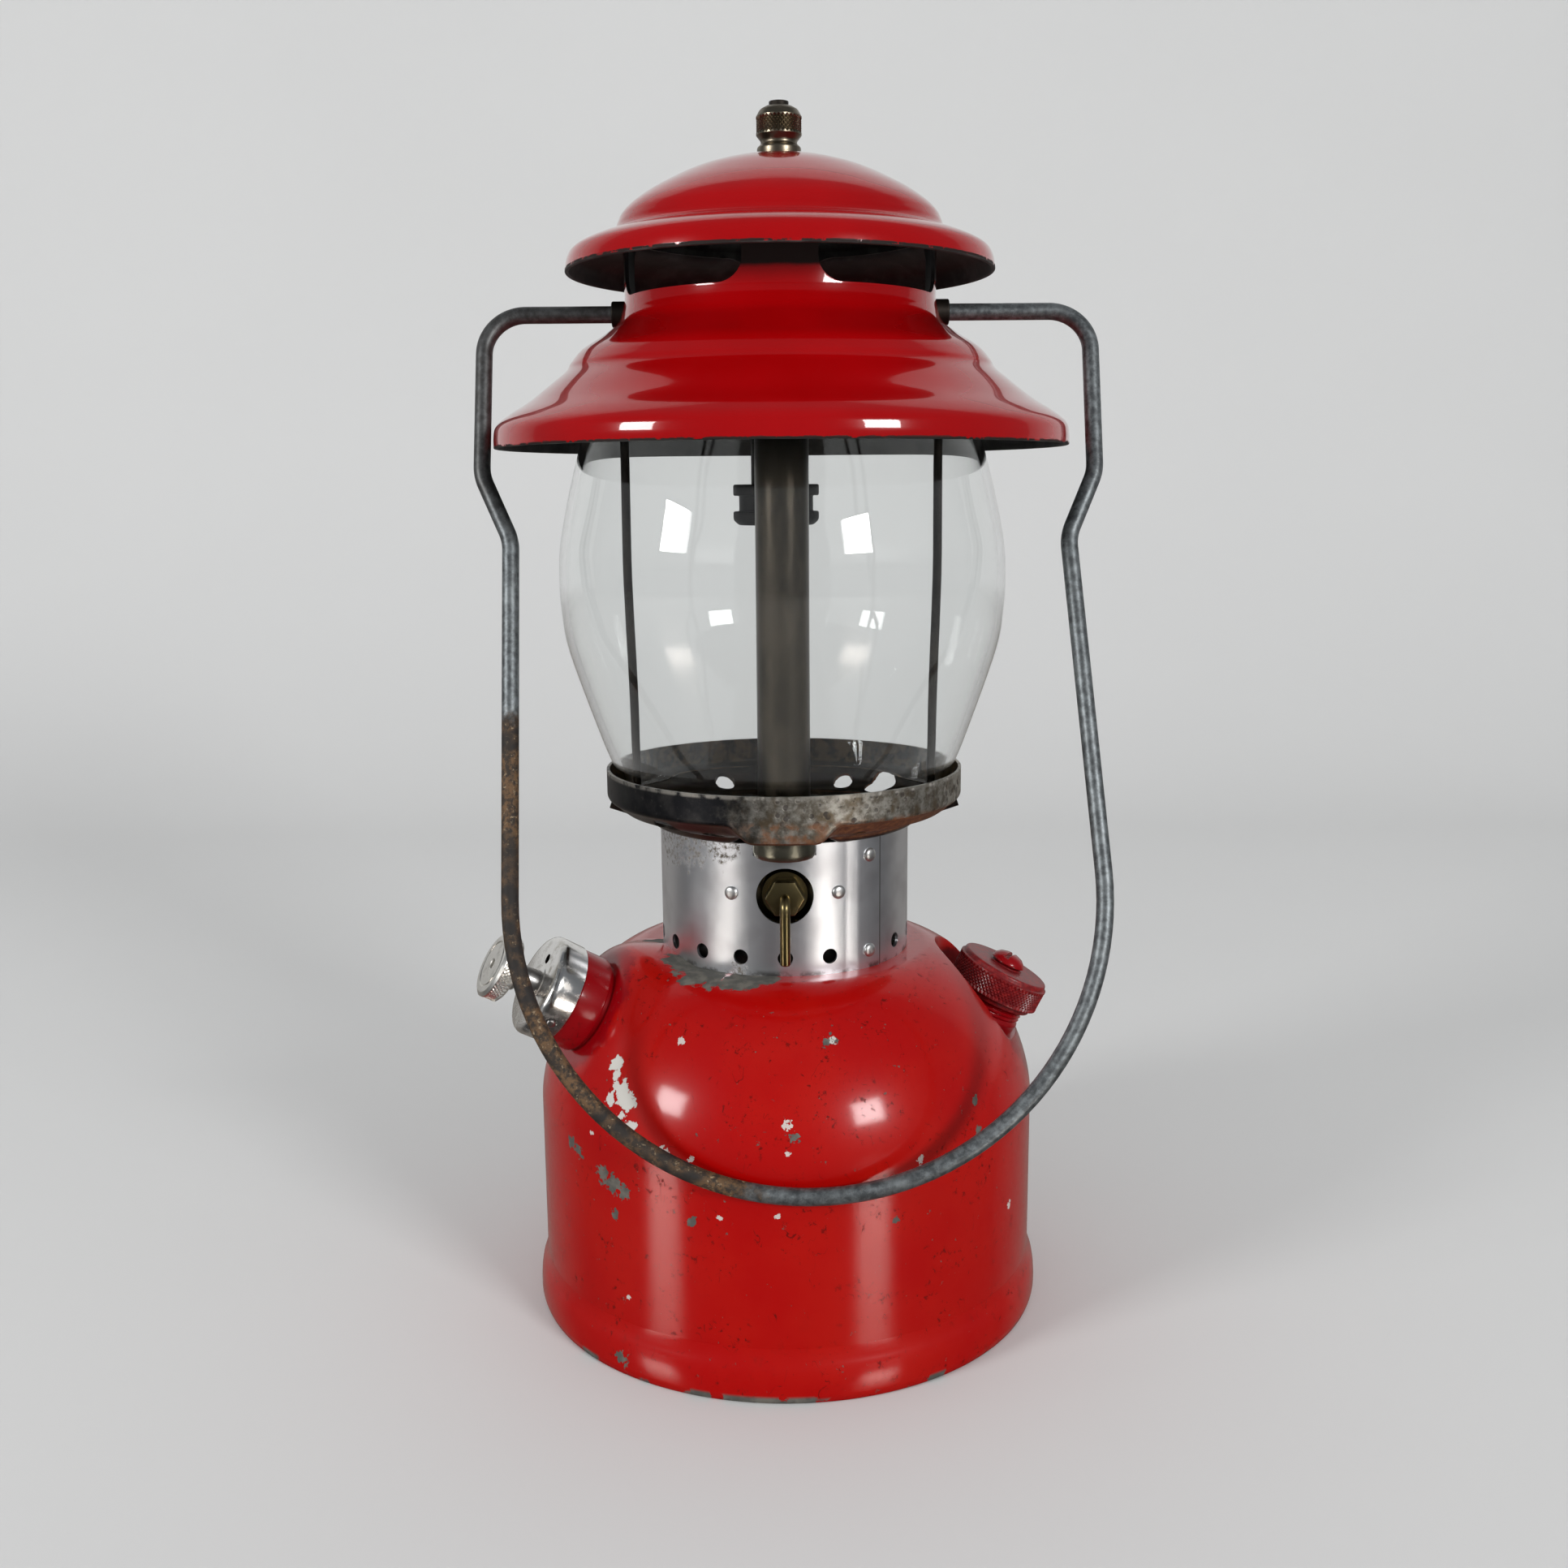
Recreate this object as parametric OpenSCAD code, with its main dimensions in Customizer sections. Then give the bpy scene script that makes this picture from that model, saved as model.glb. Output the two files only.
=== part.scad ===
// Gasoline pressure lantern with a single burner, a pump, a glass globe and a bail.
// Millimetres, +Z up. The origin is the middle of the tank's foot, on the surface it stands on.
// The front, at -Y, is the tip cleaner's side. The valve wheel is at the back.

/* [Tank] */
// Outside radius of the tank's wall
tank_r = 68; // [62:1:74]
// Height of the tank's flat top, which carries the collar
tank_h = 98.3; // [94:0.1:104]
// Height of the rounded shoulder
shoulder_h = 40.6; // [36:0.2:44]
// Width of the rounded shoulder
shoulder_w = 29.9; // [28:0.1:31]
// Height of the bottom pan's rim
rim_h = 11; // [8:0.5:15]
// Thickness of the tank's sheet
tank_sheet = 1; // [0.8:0.1:1.4]

/* [Collar and frame] */
// Outside radius of the collar
collar_r = 33.7; // [32.5:0.1:34.5]
// Height of the collar
collar_h = 34.7; // [33:0.1:37]
// Outside radius of the ring that holds the globe
ring_r = 47.9; // [47.5:0.1:50]
// Height of the ring above the pan's floor
ring_h = 9.9; // [8:0.1:12]
// Thickness of the collar's and pan's sheet
thin_sheet = 0.8; // [0.6:0.1:1]
// Diameter of the air tube
air_tube_d = 13; // [12:0.1:13.4]

/* [Globe] */
// Largest outside radius of the globe
globe_r = 58.8; // [57:0.1:60]
// Height of the globe
globe_h = 111; // [108:0.5:113]
// Thickness of the glass
glass = 2; // [1.6:0.1:2.4]

/* [Ventilator] */
// Outside radius of the hood's rim
hood_r = 74.3; // [72:0.1:77]
// Outside radius of the hood's neck
neck_r = 40; // [39.5:0.1:41]
// Outside radius of the cap's brim
cap_r = 55; // [53:0.1:58]
// Thickness of the enamelled sheet
vent_sheet = 1; // [0.8:0.1:1.2]

/* [Bail] */
// Diameter of the bail's wire
bail_d = 4.3; // [3.8:0.1:4.6]
// Length of the bail from its pivot to the bottom of its loop
bail_len = 222.5; // [218:0.5:228]

/* [Pump] */
// Rise of the pump's axis from level
pump_rise = 30; // [28:0.5:32]
// Turn of the pump from the left side toward the front
pump_turn = 22; // [20:0.5:25]
// Outside radius of the pump barrel
barrel_r = 12.5; // [12:0.1:13]

/* [Filler] */
// Lean of the filler from upright
filler_lean = 27; // [25:0.5:29]
// Outside radius of the filler cap
filler_r = 13; // [12.8:0.1:14]

/* [Valve] */
// Radius of the valve wheel
wheel_r = 16.5; // [14:0.1:16.8]

/* [Hidden] */
$fn = 64;
// Radial clearance of a shaft in its hole, and of a screw in its thread
fit = 0.06;
// Room between a piece that swings and what it passes
gap = 0.3;
// Sides of a bent wire's section, and the turn between its rings
wire_sides = 24;
bend_step = 9;

// Heights of the stack
pan_z = tank_h + collar_h;
floor_z = pan_z + 5;
ring_top = floor_z + ring_h;
globe_top = floor_z + globe_h;
hood_rim_z = floor_z + 93.9;
pivot_z = hood_rim_z + 34.1;
neck_top = pivot_z + 20.3;
cap_top = pivot_z + 38.5;
bridge_z = pivot_z - 8;
nut_top = cap_top + 11.9;
stud_top = cap_top + 13;

// Tank
rim_r = tank_r + 2;
seat_z = 4;
foot_w = 3;

// Collar
window_d = 14.7;
cleaner_z = tank_h + 21.1;
valve_z = tank_h + 18.2;
vent_pitch = 20;
vent_d = 4;
vent_z = tank_h + 4.7;
seam_turn = 40;
rivet_d = 3.6;
rivet_seat = 0.3;
window_rivet_turn = 24;

// Air tube and pan
air_r = air_tube_d / 2;
air_gap = 0.9;
globe_foot_r = globe_r - 14.4;
air_y = air_r + air_gap + glass - globe_foot_r;
ferrule_r = air_r + 1.5;
ferrule_z = pan_z - 2.8;
boss_z = floor_z - thin_sheet - 1.2;
boss_half = 11.5;
boss_back = -24;
well_r = collar_r + 2.6;
vent_hole_r = (well_r + ring_r) / 2 - 1;

// Posts
post_d = 2.4;
post_foot_x = 40.4;
post_top_x = 41.6;

// Valve and generator
valve_y = 19;
boss_r = 10;
spigot_r = 7;
valve_r = 8.5;
fuel_r = 3;
stem_r = 2.5;
gland_y = -31;
cleaner_nut_y = gland_y - 5.5;
cleaner_d = 2.6;
crank_throw = 0.8;
crank_r = 0.45;
valve_top = cleaner_z + 6;
rear_y = valve_y + 12;
packing_y = rear_y + 8;
wheel_y = packing_y + 4;
generator_r = 4;
generator_top = bridge_z - 11;
jet_r = 0.5;

// Burner
burner_x = -1.5;
burner_r = 6.5;
burner_cap_r = 11.3;
burner_cap_z = bridge_z - 46;
burner_cap_h = 10.5;
manifold_z = bridge_z - 7.5;
manifold_bottom = bridge_z - 15;

// Stud and ball nut
stud_r = 2.5;
nut_r = 5.8;

// Bail, in its own plane: across, then up from the pivot
bail_r = bail_d / 2;
bail_lean = asin((tank_r + bail_r + gap) / bail_len);
leg_x = hood_r + 3.5;
ear_out = neck_r + 3.5;
ear_in = neck_r - 1.8;
ear_r = bail_r + 1.15;
bail_path = [
    [-ear_out - 2, 0],
    [-leg_x, 0],
    [-leg_x, -43],
    [9.1 - leg_x, -60],
    [11.4 - leg_x, -bail_len],
    [leg_x + 5.9, -bail_len],
    [leg_x - 5.3, -60],
    [leg_x, -43],
    [leg_x, 0],
    [ear_out + 2, 0]
];
loop_bend = 72.6;
bail_bends = [0, 10.5, 12, 12, loop_bend, loop_bend, 12, 12, 10.5, 0];

// Pump, measured along its axis from the lantern's axis
pump_z = tank_h - 44.1;
barrel_in = -24;
barrel_out = tank_r + 5.4;
pump_cap_out = barrel_out + 8.1;
pump_cap_r = barrel_r + 1;
knob_in = pump_cap_out + 8;
knob_out = knob_in + 4.9;
knob_r = 8.75;
pump_rod_r = 3.2;
air_stem_r = 1.5;
cup_in = barrel_in + 12;
oil_hole_x = 6.9;
pin_turn = 63;

// Filler, measured along its axis from the pocket's floor
filler_x = tank_r - 12.8;
filler_z = tank_h - 20.1;
pocket_r = filler_r + 7;
filler_neck_r = filler_r - 2.8;
filler_bore = filler_neck_r - 2.6;
filler_neck_h = 9.6;
filler_cap_z = 4.5;
filler_cap_h = 9.5;
gasket_h = 1.2;
insert_h = 1.3;

// Outlines are lists of [radius, height], from the top or the middle outward and down.

function reversed(list) = [for (i = [len(list) - 1 : -1 : 0]) list[i]];

function unit(v) = v / norm(v);

// One point of the curve that runs smoothly through four others
function curve_point(a, b, c, d, t) =
    0.5 * (2 * b + (c - a) * t + (2 * a - 5 * b + 4 * c - d) * t * t + (3 * b - a - 3 * c + d) * t * t * t);

// A smooth curve through the given points, with n steps to each stretch
function smooth(p, n) = concat(
    [
        for (i = [0 : len(p) - 2], k = [0 : n - 1])
            curve_point(p[max(i - 1, 0)], p[i], p[i + 1], p[min(i + 2, len(p) - 1)], k / n)
    ],
    [p[len(p) - 1]]
);

// The inner face of a sheet of thickness t whose outer face is the given curve
function inner_face(p, t) = [
    for (i = [0 : len(p) - 1])
        let (
            d = unit(p[min(i + 1, len(p) - 1)] - p[max(i - 1, 0)]),
            q = p[i] + t * [d[1], -d[0]]
        )
        p[i][0] == 0 ? [0, q[1]] : q
];

module turned(outline) {
    rotate_extrude()
        polygon(outline);
}

// A sheet pressed to the given curve
module pressed(curve, t) {
    turned(concat(curve, reversed(inner_face(curve, t))));
}

module tube(r, bore, z0, z1) {
    translate([0, 0, z0])
        difference() {
            cylinder(r = r, h = z1 - z0);
            translate([0, 0, -1])
                cylinder(r = bore, h = z1 - z0 + 2);
        }
}

module rod(r, z0, z1) {
    translate([0, 0, z0])
        cylinder(r = r, h = z1 - z0);
}

// A rod of radius r from y0 to y1, at the given height
module rod_y(r, y0, y1, z) {
    translate([0, y0, z])
        rotate([-90, 0, 0])
            cylinder(r = r, h = y1 - y0);
}

module hexagon(across, z0, z1) {
    translate([0, 0, z0])
        cylinder(r = across / 2 / cos(30), h = z1 - z0, $fn = 6);
}

module rounded_window(w, h, r) {
    translate([-w / 2, r])
        square([w, h - 2 * r]);
    translate([r - w / 2, 0])
        square([w - 2 * r, h]);
    for (x = [r - w / 2, w / 2 - r], y = [r, h - r])
        translate([x, y])
            circle(r);
}

// The angle that a wire turns through at a corner of its path
function corner(path, i) = acos(unit(path[i] - path[i - 1]) * unit(path[i + 1] - path[i]));

function rotated(v, a) = [v[0] * cos(a) - v[1] * sin(a), v[0] * sin(a) + v[1] * cos(a)];

// Points round the bend of the given radius at a corner
function bend_points(path, radius, i) =
    let (
        before = unit(path[i] - path[i - 1]),
        after = unit(path[i + 1] - path[i]),
        angle = corner(path, i),
        side = sign(cross(before, after)),
        middle = path[i] + unit(after - before) * radius / cos(angle / 2),
        spoke = side * radius * [before[1], -before[0]],
        steps = ceil(angle / bend_step)
    )
    [for (k = [0 : steps]) middle + rotated(spoke, side * angle * k / steps)];

// The middle line of a wire along a flat path, with a bend at each corner
function wire_line(path, bends) = [
    for (i = [0 : len(path) - 1])
        each i == 0 || i == len(path) - 1 ? [path[i]] : bend_points(path, bends[i], i)
];

// A round wire along a flat path, with a bend of the given radius at each corner
module wire(path, bends, d) {
    line = wire_line(path, bends);
    last = len(line) - 1;
    m = wire_sides;
    rings = [
        for (i = [0 : last])
            let (
                way = unit(line[min(i + 1, last)] - line[max(i - 1, 0)]),
                across = d / 2 * [-way[1], way[0]]
            )
            for (j = [0 : m - 1])
                let (a = 360 * j / m)
                [line[i][0] + across[0] * cos(a), line[i][1] + across[1] * cos(a), d / 2 * sin(a)]
    ];
    skin = [
        for (i = [0 : last - 1], j = [0 : m - 1])
            [i * m + j, (i + 1) * m + j, (i + 1) * m + (j + 1) % m, i * m + (j + 1) % m]
    ];
    ends = [
        [for (j = [0 : m - 1]) j],
        [for (j = [m - 1 : -1 : 0]) last * m + j]
    ];
    polyhedron(rings, concat(skin, ends), convexity = 6);
}

// Places along the pump's axis, the filler's axis and the valve's upright axis

module pump_axis() {
    translate([0, 0, pump_z])
        rotate([0, 90 - pump_rise, 180 + pump_turn])
            children();
}

module filler_axis() {
    translate([filler_x, 0, filler_z])
        rotate([0, filler_lean, 0])
            children();
}

module valve_axis() {
    translate([0, valve_y, 0])
        children();
}

// Tank

shoulder = [
    for (a = [90 : -7.5 : 0])
        [
            tank_r - shoulder_w + shoulder_w * pow(cos(a), 1.2),
            tank_h - shoulder_h + shoulder_h * pow(sin(a), 1.2)
        ]
];
tank_curve = concat([[0, tank_h]], shoulder, [[tank_r, seat_z]]);

module tank_shell() {
    color("firebrick")
        difference() {
            union() {
                pressed(tank_curve, tank_sheet);
                intersection() {
                    turned(concat(tank_curve, [[0, seat_z]]));
                    filler_axis()
                        rod(pocket_r + tank_sheet, -tank_sheet, 60);
                }
            }
            filler_axis()
                rod(pocket_r, 0, 80);
            filler_axis()
                rod(filler_neck_r, -20, 10);
            pump_axis()
                rod(barrel_r, 30, 120);
            valve_axis()
                rod(boss_r, tank_h - 20, tank_h + 10);
        }
}

module tank_bottom() {
    color("firebrick")
        turned([
            [0, seat_z],
            [0, seat_z - tank_sheet],
            [rim_r - foot_w - 1, seat_z - tank_sheet],
            [rim_r - foot_w, 0],
            [rim_r - 0.8, 0],
            [rim_r, 0.8],
            [rim_r, rim_h - 2],
            [rim_r - 0.8, rim_h - 0.6],
            [tank_r, rim_h],
            [tank_r, seat_z]
        ]);
}

// Filler

module filler_neck() {
    color("firebrick")
        filler_axis()
            tube(filler_neck_r, filler_bore, -9, filler_neck_h);
}

module filler_gasket() {
    color("dimgray")
        filler_axis()
            tube(filler_neck_r - 0.2, filler_bore - 1, filler_neck_h, filler_neck_h + gasket_h);
}

module filler_insert() {
    top = filler_neck_h + gasket_h + insert_h;
    color("goldenrod")
        filler_axis() {
            rod(filler_neck_r - 0.2, filler_neck_h + gasket_h, top);
            rod(2, top, filler_cap_z + filler_cap_h);
        }
}

module filler_cap() {
    top = filler_cap_z + filler_cap_h;
    color("darkred")
        filler_axis()
            difference() {
                turned([
                    [0, top],
                    [filler_r - 1.2, top],
                    [filler_r, top - 1.2],
                    [filler_r, filler_cap_z + 1.6],
                    [filler_r - 1.4, filler_cap_z],
                    [0, filler_cap_z]
                ]);
                rod(filler_neck_r + fit, filler_cap_z - 1, filler_neck_h + gasket_h + insert_h);
                rod(2 + fit, filler_cap_z, top + 1);
            }
}

module filler_screw() {
    top = filler_cap_z + filler_cap_h;
    head_r = 4.2;
    head_h = 2.2;
    color("firebrick")
        filler_axis()
            difference() {
                turned([
                    [0, top + head_h],
                    [head_r * 0.5, top + head_h * 0.9],
                    [head_r * 0.85, top + head_h * 0.55],
                    [head_r, top],
                    [0, top]
                ]);
                translate([-head_r - 1, -0.6, top + head_h - 1.1])
                    cube([2 * head_r + 2, 1.2, 2]);
            }
}

// Pump

module pump_barrel() {
    color("firebrick")
        pump_axis() {
            tube(barrel_r, barrel_r - 1, barrel_in, pump_cap_out - 1.5);
            tube(barrel_r + 0.5, barrel_r - 1, barrel_out - 3, barrel_out);
        }
}

module pump_check_valve() {
    color("goldenrod")
        pump_axis()
            difference() {
                union() {
                    rod(barrel_r, barrel_in - 2, barrel_in);
                    rod(barrel_r - 1, barrel_in, barrel_in + 3);
                    rod(6, barrel_in - 9, barrel_in - 2);
                }
                rod(air_stem_r + fit, barrel_in - 6, barrel_in + 4);
                rod(0.8, barrel_in - 10, barrel_in);
            }
}

module pump_air_stem() {
    color("peru")
        pump_axis()
            turned([
                [0, barrel_out],
                [air_stem_r, barrel_out],
                [air_stem_r, barrel_in - 4],
                [0, barrel_in - 5.5]
            ]);
}

module pump_rod() {
    color("silver")
        pump_axis()
            difference() {
                rod(pump_rod_r, cup_in, knob_in + 3);
                rod(air_stem_r + fit, cup_in - 1, barrel_out + 2);
            }
}

module pump_cup() {
    cup_r = barrel_r - 1 - fit;
    color("saddlebrown")
        pump_axis()
            difference() {
                rod(cup_r, cup_in + 2, cup_in + 10);
                rod(cup_r - 1.8, cup_in + 1, cup_in + 8);
                rod(pump_rod_r, cup_in, cup_in + 11);
            }
}

module pump_cup_nut() {
    color("silver")
        pump_axis()
            tube(barrel_r - 3.5, pump_rod_r, cup_in + 5.6, cup_in + 8);
}

module pump_cap() {
    color("lightgray")
        pump_axis()
            difference() {
                turned([
                    [0, pump_cap_out],
                    [pump_cap_r - 1.6, pump_cap_out],
                    [pump_cap_r - 0.5, pump_cap_out - 0.6],
                    [pump_cap_r, pump_cap_out - 1.8],
                    [pump_cap_r, barrel_out],
                    [0, barrel_out]
                ]);
                rod(barrel_r, barrel_out - 1, pump_cap_out - 1.5);
                rod(pump_rod_r + fit, barrel_out, pump_cap_out + 1);
                translate([-oil_hole_x, 0, 0])
                    rod(1.3, barrel_out, pump_cap_out + 1);
                for (turn = [pin_turn, pin_turn + 180])
                    rotate([0, 90, turn])
                        translate([-barrel_out - 3.6, 0, 0])
                            rod(1.2, barrel_r - 0.5, barrel_r + 3);
            }
}

module pump_cap_pins() {
    color("silver")
        pump_axis()
            for (turn = [pin_turn, pin_turn + 180])
                rotate([0, 90, turn])
                    translate([-barrel_out - 3.6, 0, 0])
                        rod(1.2, barrel_r, barrel_r + 1.5);
}

module pump_knob() {
    color("gainsboro")
        pump_axis()
            difference() {
                union() {
                    turned([
                        [0, knob_out],
                        [knob_r - 0.8, knob_out],
                        [knob_r, knob_out - 0.8],
                        [knob_r, knob_in + 0.8],
                        [knob_r - 0.8, knob_in],
                        [0, knob_in]
                    ]);
                    rod(4.4, knob_in - 2.5, knob_in);
                }
                rod(pump_rod_r, knob_in - 3, knob_in + 3);
                rod(1.2, knob_out - 1, knob_out + 1);
            }
}

// Collar

module collar() {
    color("lightgray")
        difference() {
            union() {
                tube(collar_r, collar_r - thin_sheet, tank_h, pan_z);
                intersection() {
                    tube(collar_r + 0.4, collar_r - 0.2, tank_h, pan_z);
                    rotate([0, 0, seam_turn - 90])
                        translate([0, -4, 0])
                            cube([collar_r + 5, 8, pan_z + 1]);
                }
            }
            rod_y(window_d / 2, -collar_r - 5, -collar_r + 8, cleaner_z);
            rod_y(window_d / 2 + 2, collar_r - 8, collar_r + 5, valve_z);
            translate([0, air_y, 0])
                rod(ferrule_r + gap, ferrule_z - gap, pan_z + 1);
            for (i = [0 : 360 / vent_pitch - 1])
                if (i * vent_pitch != seam_turn)
                    rotate([0, 0, i * vent_pitch])
                        rod_y(vent_d / 2, -collar_r - 5, -collar_r + 5, vent_z);
            for (place = rivet_places)
                rotate([0, 0, place[0]])
                    rod_y(rivet_d / 2 + fit, -collar_r - 5, rivet_seat - collar_r, place[1]);
        }
}

// Rivets of the lapped seam and of the window, each [turn from the front, height]
rivet_places = [
    [seam_turn, vent_z],
    [seam_turn, pan_z - 4.5],
    [window_rivet_turn, cleaner_z + 0.4],
    [-window_rivet_turn, cleaner_z + 0.4]
];

module collar_rivets() {
    color("gainsboro")
        for (place = rivet_places)
            rotate([0, 0, place[0]])
                translate([0, rivet_seat - collar_r, place[1]])
                    rotate([90, 0, 0])
                        turned([
                            [0, 1.7],
                            [rivet_d * 0.22, 1.6],
                            [rivet_d * 0.4, 1.2],
                            [rivet_d / 2, 0.5],
                            [rivet_d / 2, 0],
                            [0, 0]
                        ]);
}

// Valve and tip cleaner

module valve_boss() {
    color("goldenrod")
        valve_axis()
            tube(boss_r, spigot_r, tank_h - 4, tank_h + 3);
}

module valve_body() {
    color("darkgoldenrod")
        difference() {
            union() {
                valve_axis() {
                    rod(spigot_r, tank_h - 4, tank_h + 3);
                    rod(valve_r, tank_h + 3, valve_top);
                }
                rod_y(4.5, gland_y + 5, valve_y, cleaner_z);
                rod_y(window_d / 2 - 1.5, gland_y, gland_y + 6, cleaner_z);
                rod_y(6, valve_y, rear_y, valve_z);
            }
            valve_axis() {
                rod(fuel_r, tank_h - 5, tank_h + 5);
                rod(2.2, tank_h, valve_top + 1);
            }
            rod_y(cleaner_d / 2 + fit, gland_y - 1, valve_y - 1, cleaner_z);
            rod_y(stem_r + fit, valve_y + 4, rear_y + 1, valve_z);
        }
}

module fuel_tube() {
    color("peru")
        valve_axis()
            tube(fuel_r, fuel_r - 0.7, seat_z + 4, tank_h + 5);
}

module valve_packing_nut() {
    color("goldenrod")
        translate([0, rear_y, valve_z])
            rotate([-90, 0, 0])
                difference() {
                    hexagon(12.5, 0, packing_y - rear_y);
                    rod(stem_r + fit, -1, packing_y - rear_y + 1);
                }
}

module valve_stem() {
    color("peru")
        translate([0, valve_y, valve_z])
            rotate([-90, 0, 0])
                difference() {
                    turned([
                        [0, 4.6],
                        [stem_r, 6.5],
                        [stem_r, wheel_y - valve_y + 6],
                        [0, wheel_y - valve_y + 6]
                    ]);
                    rod(1.2, wheel_y - valve_y - 2, wheel_y - valve_y + 7);
                }
}

module valve_wheel() {
    lobes = 9;
    color("dimgray")
        translate([0, wheel_y, valve_z])
            rotate([-90, 0, 0])
                difference() {
                    turned([
                        [0, 6],
                        [6, 6],
                        [7, 3],
                        [wheel_r - 4.5, 3],
                        [wheel_r - 3, 7.5],
                        [wheel_r - 1, 8],
                        [wheel_r, 7],
                        [wheel_r, 1],
                        [wheel_r - 1, 0],
                        [5, 0],
                        [5, -3],
                        [0, -3]
                    ]);
                    rod(stem_r, -4, 7);
                    for (i = [0 : lobes - 1])
                        rotate([0, 0, i * 360 / lobes])
                            translate([wheel_r + 2.4, 0, 0])
                                rod(3.6, -1, 9);
                }
}

module wheel_screw() {
    color("silver")
        translate([0, wheel_y, valve_z])
            rotate([-90, 0, 0])
                difference() {
                    union() {
                        rod(1.2, -1.5, 6);
                        turned([
                            [0, 8],
                            [2.6, 7.6],
                            [3.8, 6],
                            [0, 6]
                        ]);
                    }
                    translate([-4.5, -0.5, 7.1])
                        cube([9, 1, 2]);
                }
}

module cleaner_nut() {
    color("darkgoldenrod")
        translate([0, gland_y, cleaner_z])
            rotate([90, 0, 0])
                difference() {
                    intersection() {
                        hexagon(8.9, 0, gland_y - cleaner_nut_y);
                        turned([
                            [0, gland_y - cleaner_nut_y],
                            [4.1, gland_y - cleaner_nut_y],
                            [5.2, gland_y - cleaner_nut_y - 1],
                            [5.2, 0],
                            [0, 0]
                        ]);
                    }
                    rod(cleaner_d / 2 + fit, -1, gland_y - cleaner_nut_y + 1);
                }
}

// The lever's arm, forward out of the nut and then down: [y, z]
lever_y = cleaner_nut_y - 2.9;
lever_path = [
    [cleaner_nut_y - 0.2, cleaner_z],
    [lever_y, cleaner_z],
    [lever_y, tank_h + 4.6]
];

module cleaner_lever() {
    color("olive") {
        rotate([90, 0, 90])
            wire(lever_path, [0, 2.4, 0], cleaner_d + 0.1);
        rod_y(cleaner_d / 2, cleaner_nut_y - 0.3, valve_y - 2.3, cleaner_z);
        translate([crank_throw, 0, 0])
            rod_y(crank_r, valve_y - 2.3, valve_y + 0.8, cleaner_z);
    }
}

module cleaner_needle() {
    foot_z = cleaner_z + crank_r + 0.6;
    color("silver")
        valve_axis() {
            rod(1.9, foot_z, foot_z + 1);
            rod(jet_r, foot_z + 1, generator_top + 4);
        }
}

// Generator and burner

module generator_nut() {
    color("goldenrod")
        valve_axis()
            difference() {
                hexagon(12.7, valve_top, valve_top + 5.5);
                rod(generator_r, valve_top - 1, valve_top + 7);
            }
}

module generator_tube() {
    color("darkgoldenrod")
        valve_axis()
            tube(generator_r, generator_r - 1, valve_top, generator_top);
}

module gas_tip() {
    color("goldenrod")
        valve_axis()
            difference() {
                union() {
                    rod(generator_r - 1, generator_top - 5, generator_top);
                    rod(2, generator_top, generator_top + 5);
                }
                rod(jet_r + fit, generator_top - 6, generator_top + 6);
            }
}

module burner_manifold() {
    color("dimgray")
        difference() {
            union() {
                rod_y(6.5, air_y, valve_y, manifold_z);
                translate([0, air_y, 0])
                    rod(air_r + 1.1, manifold_bottom, bridge_z);
                translate([burner_x, 0, 0])
                    rod(burner_r + 2, manifold_bottom, bridge_z);
                valve_axis()
                    rod(generator_r + 2, generator_top, bridge_z - 0.5);
            }
            rod_y(4.5, air_y, valve_y, manifold_z);
            translate([0, air_y, 0])
                rod(air_r, manifold_bottom - 1, manifold_z);
            translate([burner_x, 0, 0])
                rod(burner_r, manifold_bottom - 1, manifold_bottom + 4);
            valve_axis()
                rod(generator_r + gap, manifold_bottom - 1, generator_top);
            valve_axis()
                rod(generator_r - 0.6, generator_top - 1, generator_top + 6);
            translate([burner_x, 0, 0])
                rod(burner_r - 2, manifold_bottom, manifold_z);
        }
}

module air_tube() {
    color("dimgray")
        translate([0, air_y, 0])
            tube(air_r, air_r - 0.9, ferrule_z, manifold_z);
}

module air_tube_ferrule() {
    color("darkkhaki")
        translate([0, air_y, 0])
            tube(ferrule_r, air_r, ferrule_z, boss_z);
}

module burner_tube() {
    color("dimgray")
        translate([burner_x, 0, 0])
            tube(burner_r, burner_r - 1, burner_cap_z + burner_cap_h, manifold_bottom + 4);
}

module burner_cap() {
    top = burner_cap_z + burner_cap_h;
    color("black")
        translate([burner_x, 0, 0])
            turned([
                [burner_r - 1, top],
                [burner_cap_r, top],
                [burner_cap_r, top - 2.9],
                [burner_cap_r - 1.55, top - 2.9],
                [burner_cap_r - 1.55, top - 6.9],
                [burner_cap_r, top - 6.9],
                [burner_cap_r, burner_cap_z + 1.5],
                [burner_cap_r - 1.5, burner_cap_z],
                [burner_cap_r - 3, burner_cap_z],
                [burner_cap_r - 3, burner_cap_z + 2],
                [burner_r - 1, burner_cap_z + 2]
            ]);
}

module burner_screen() {
    color("gray")
        translate([burner_x, 0, 0])
            rod(burner_cap_r - 3, burner_cap_z + 1.2, burner_cap_z + 2);
}

// Frame

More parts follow.
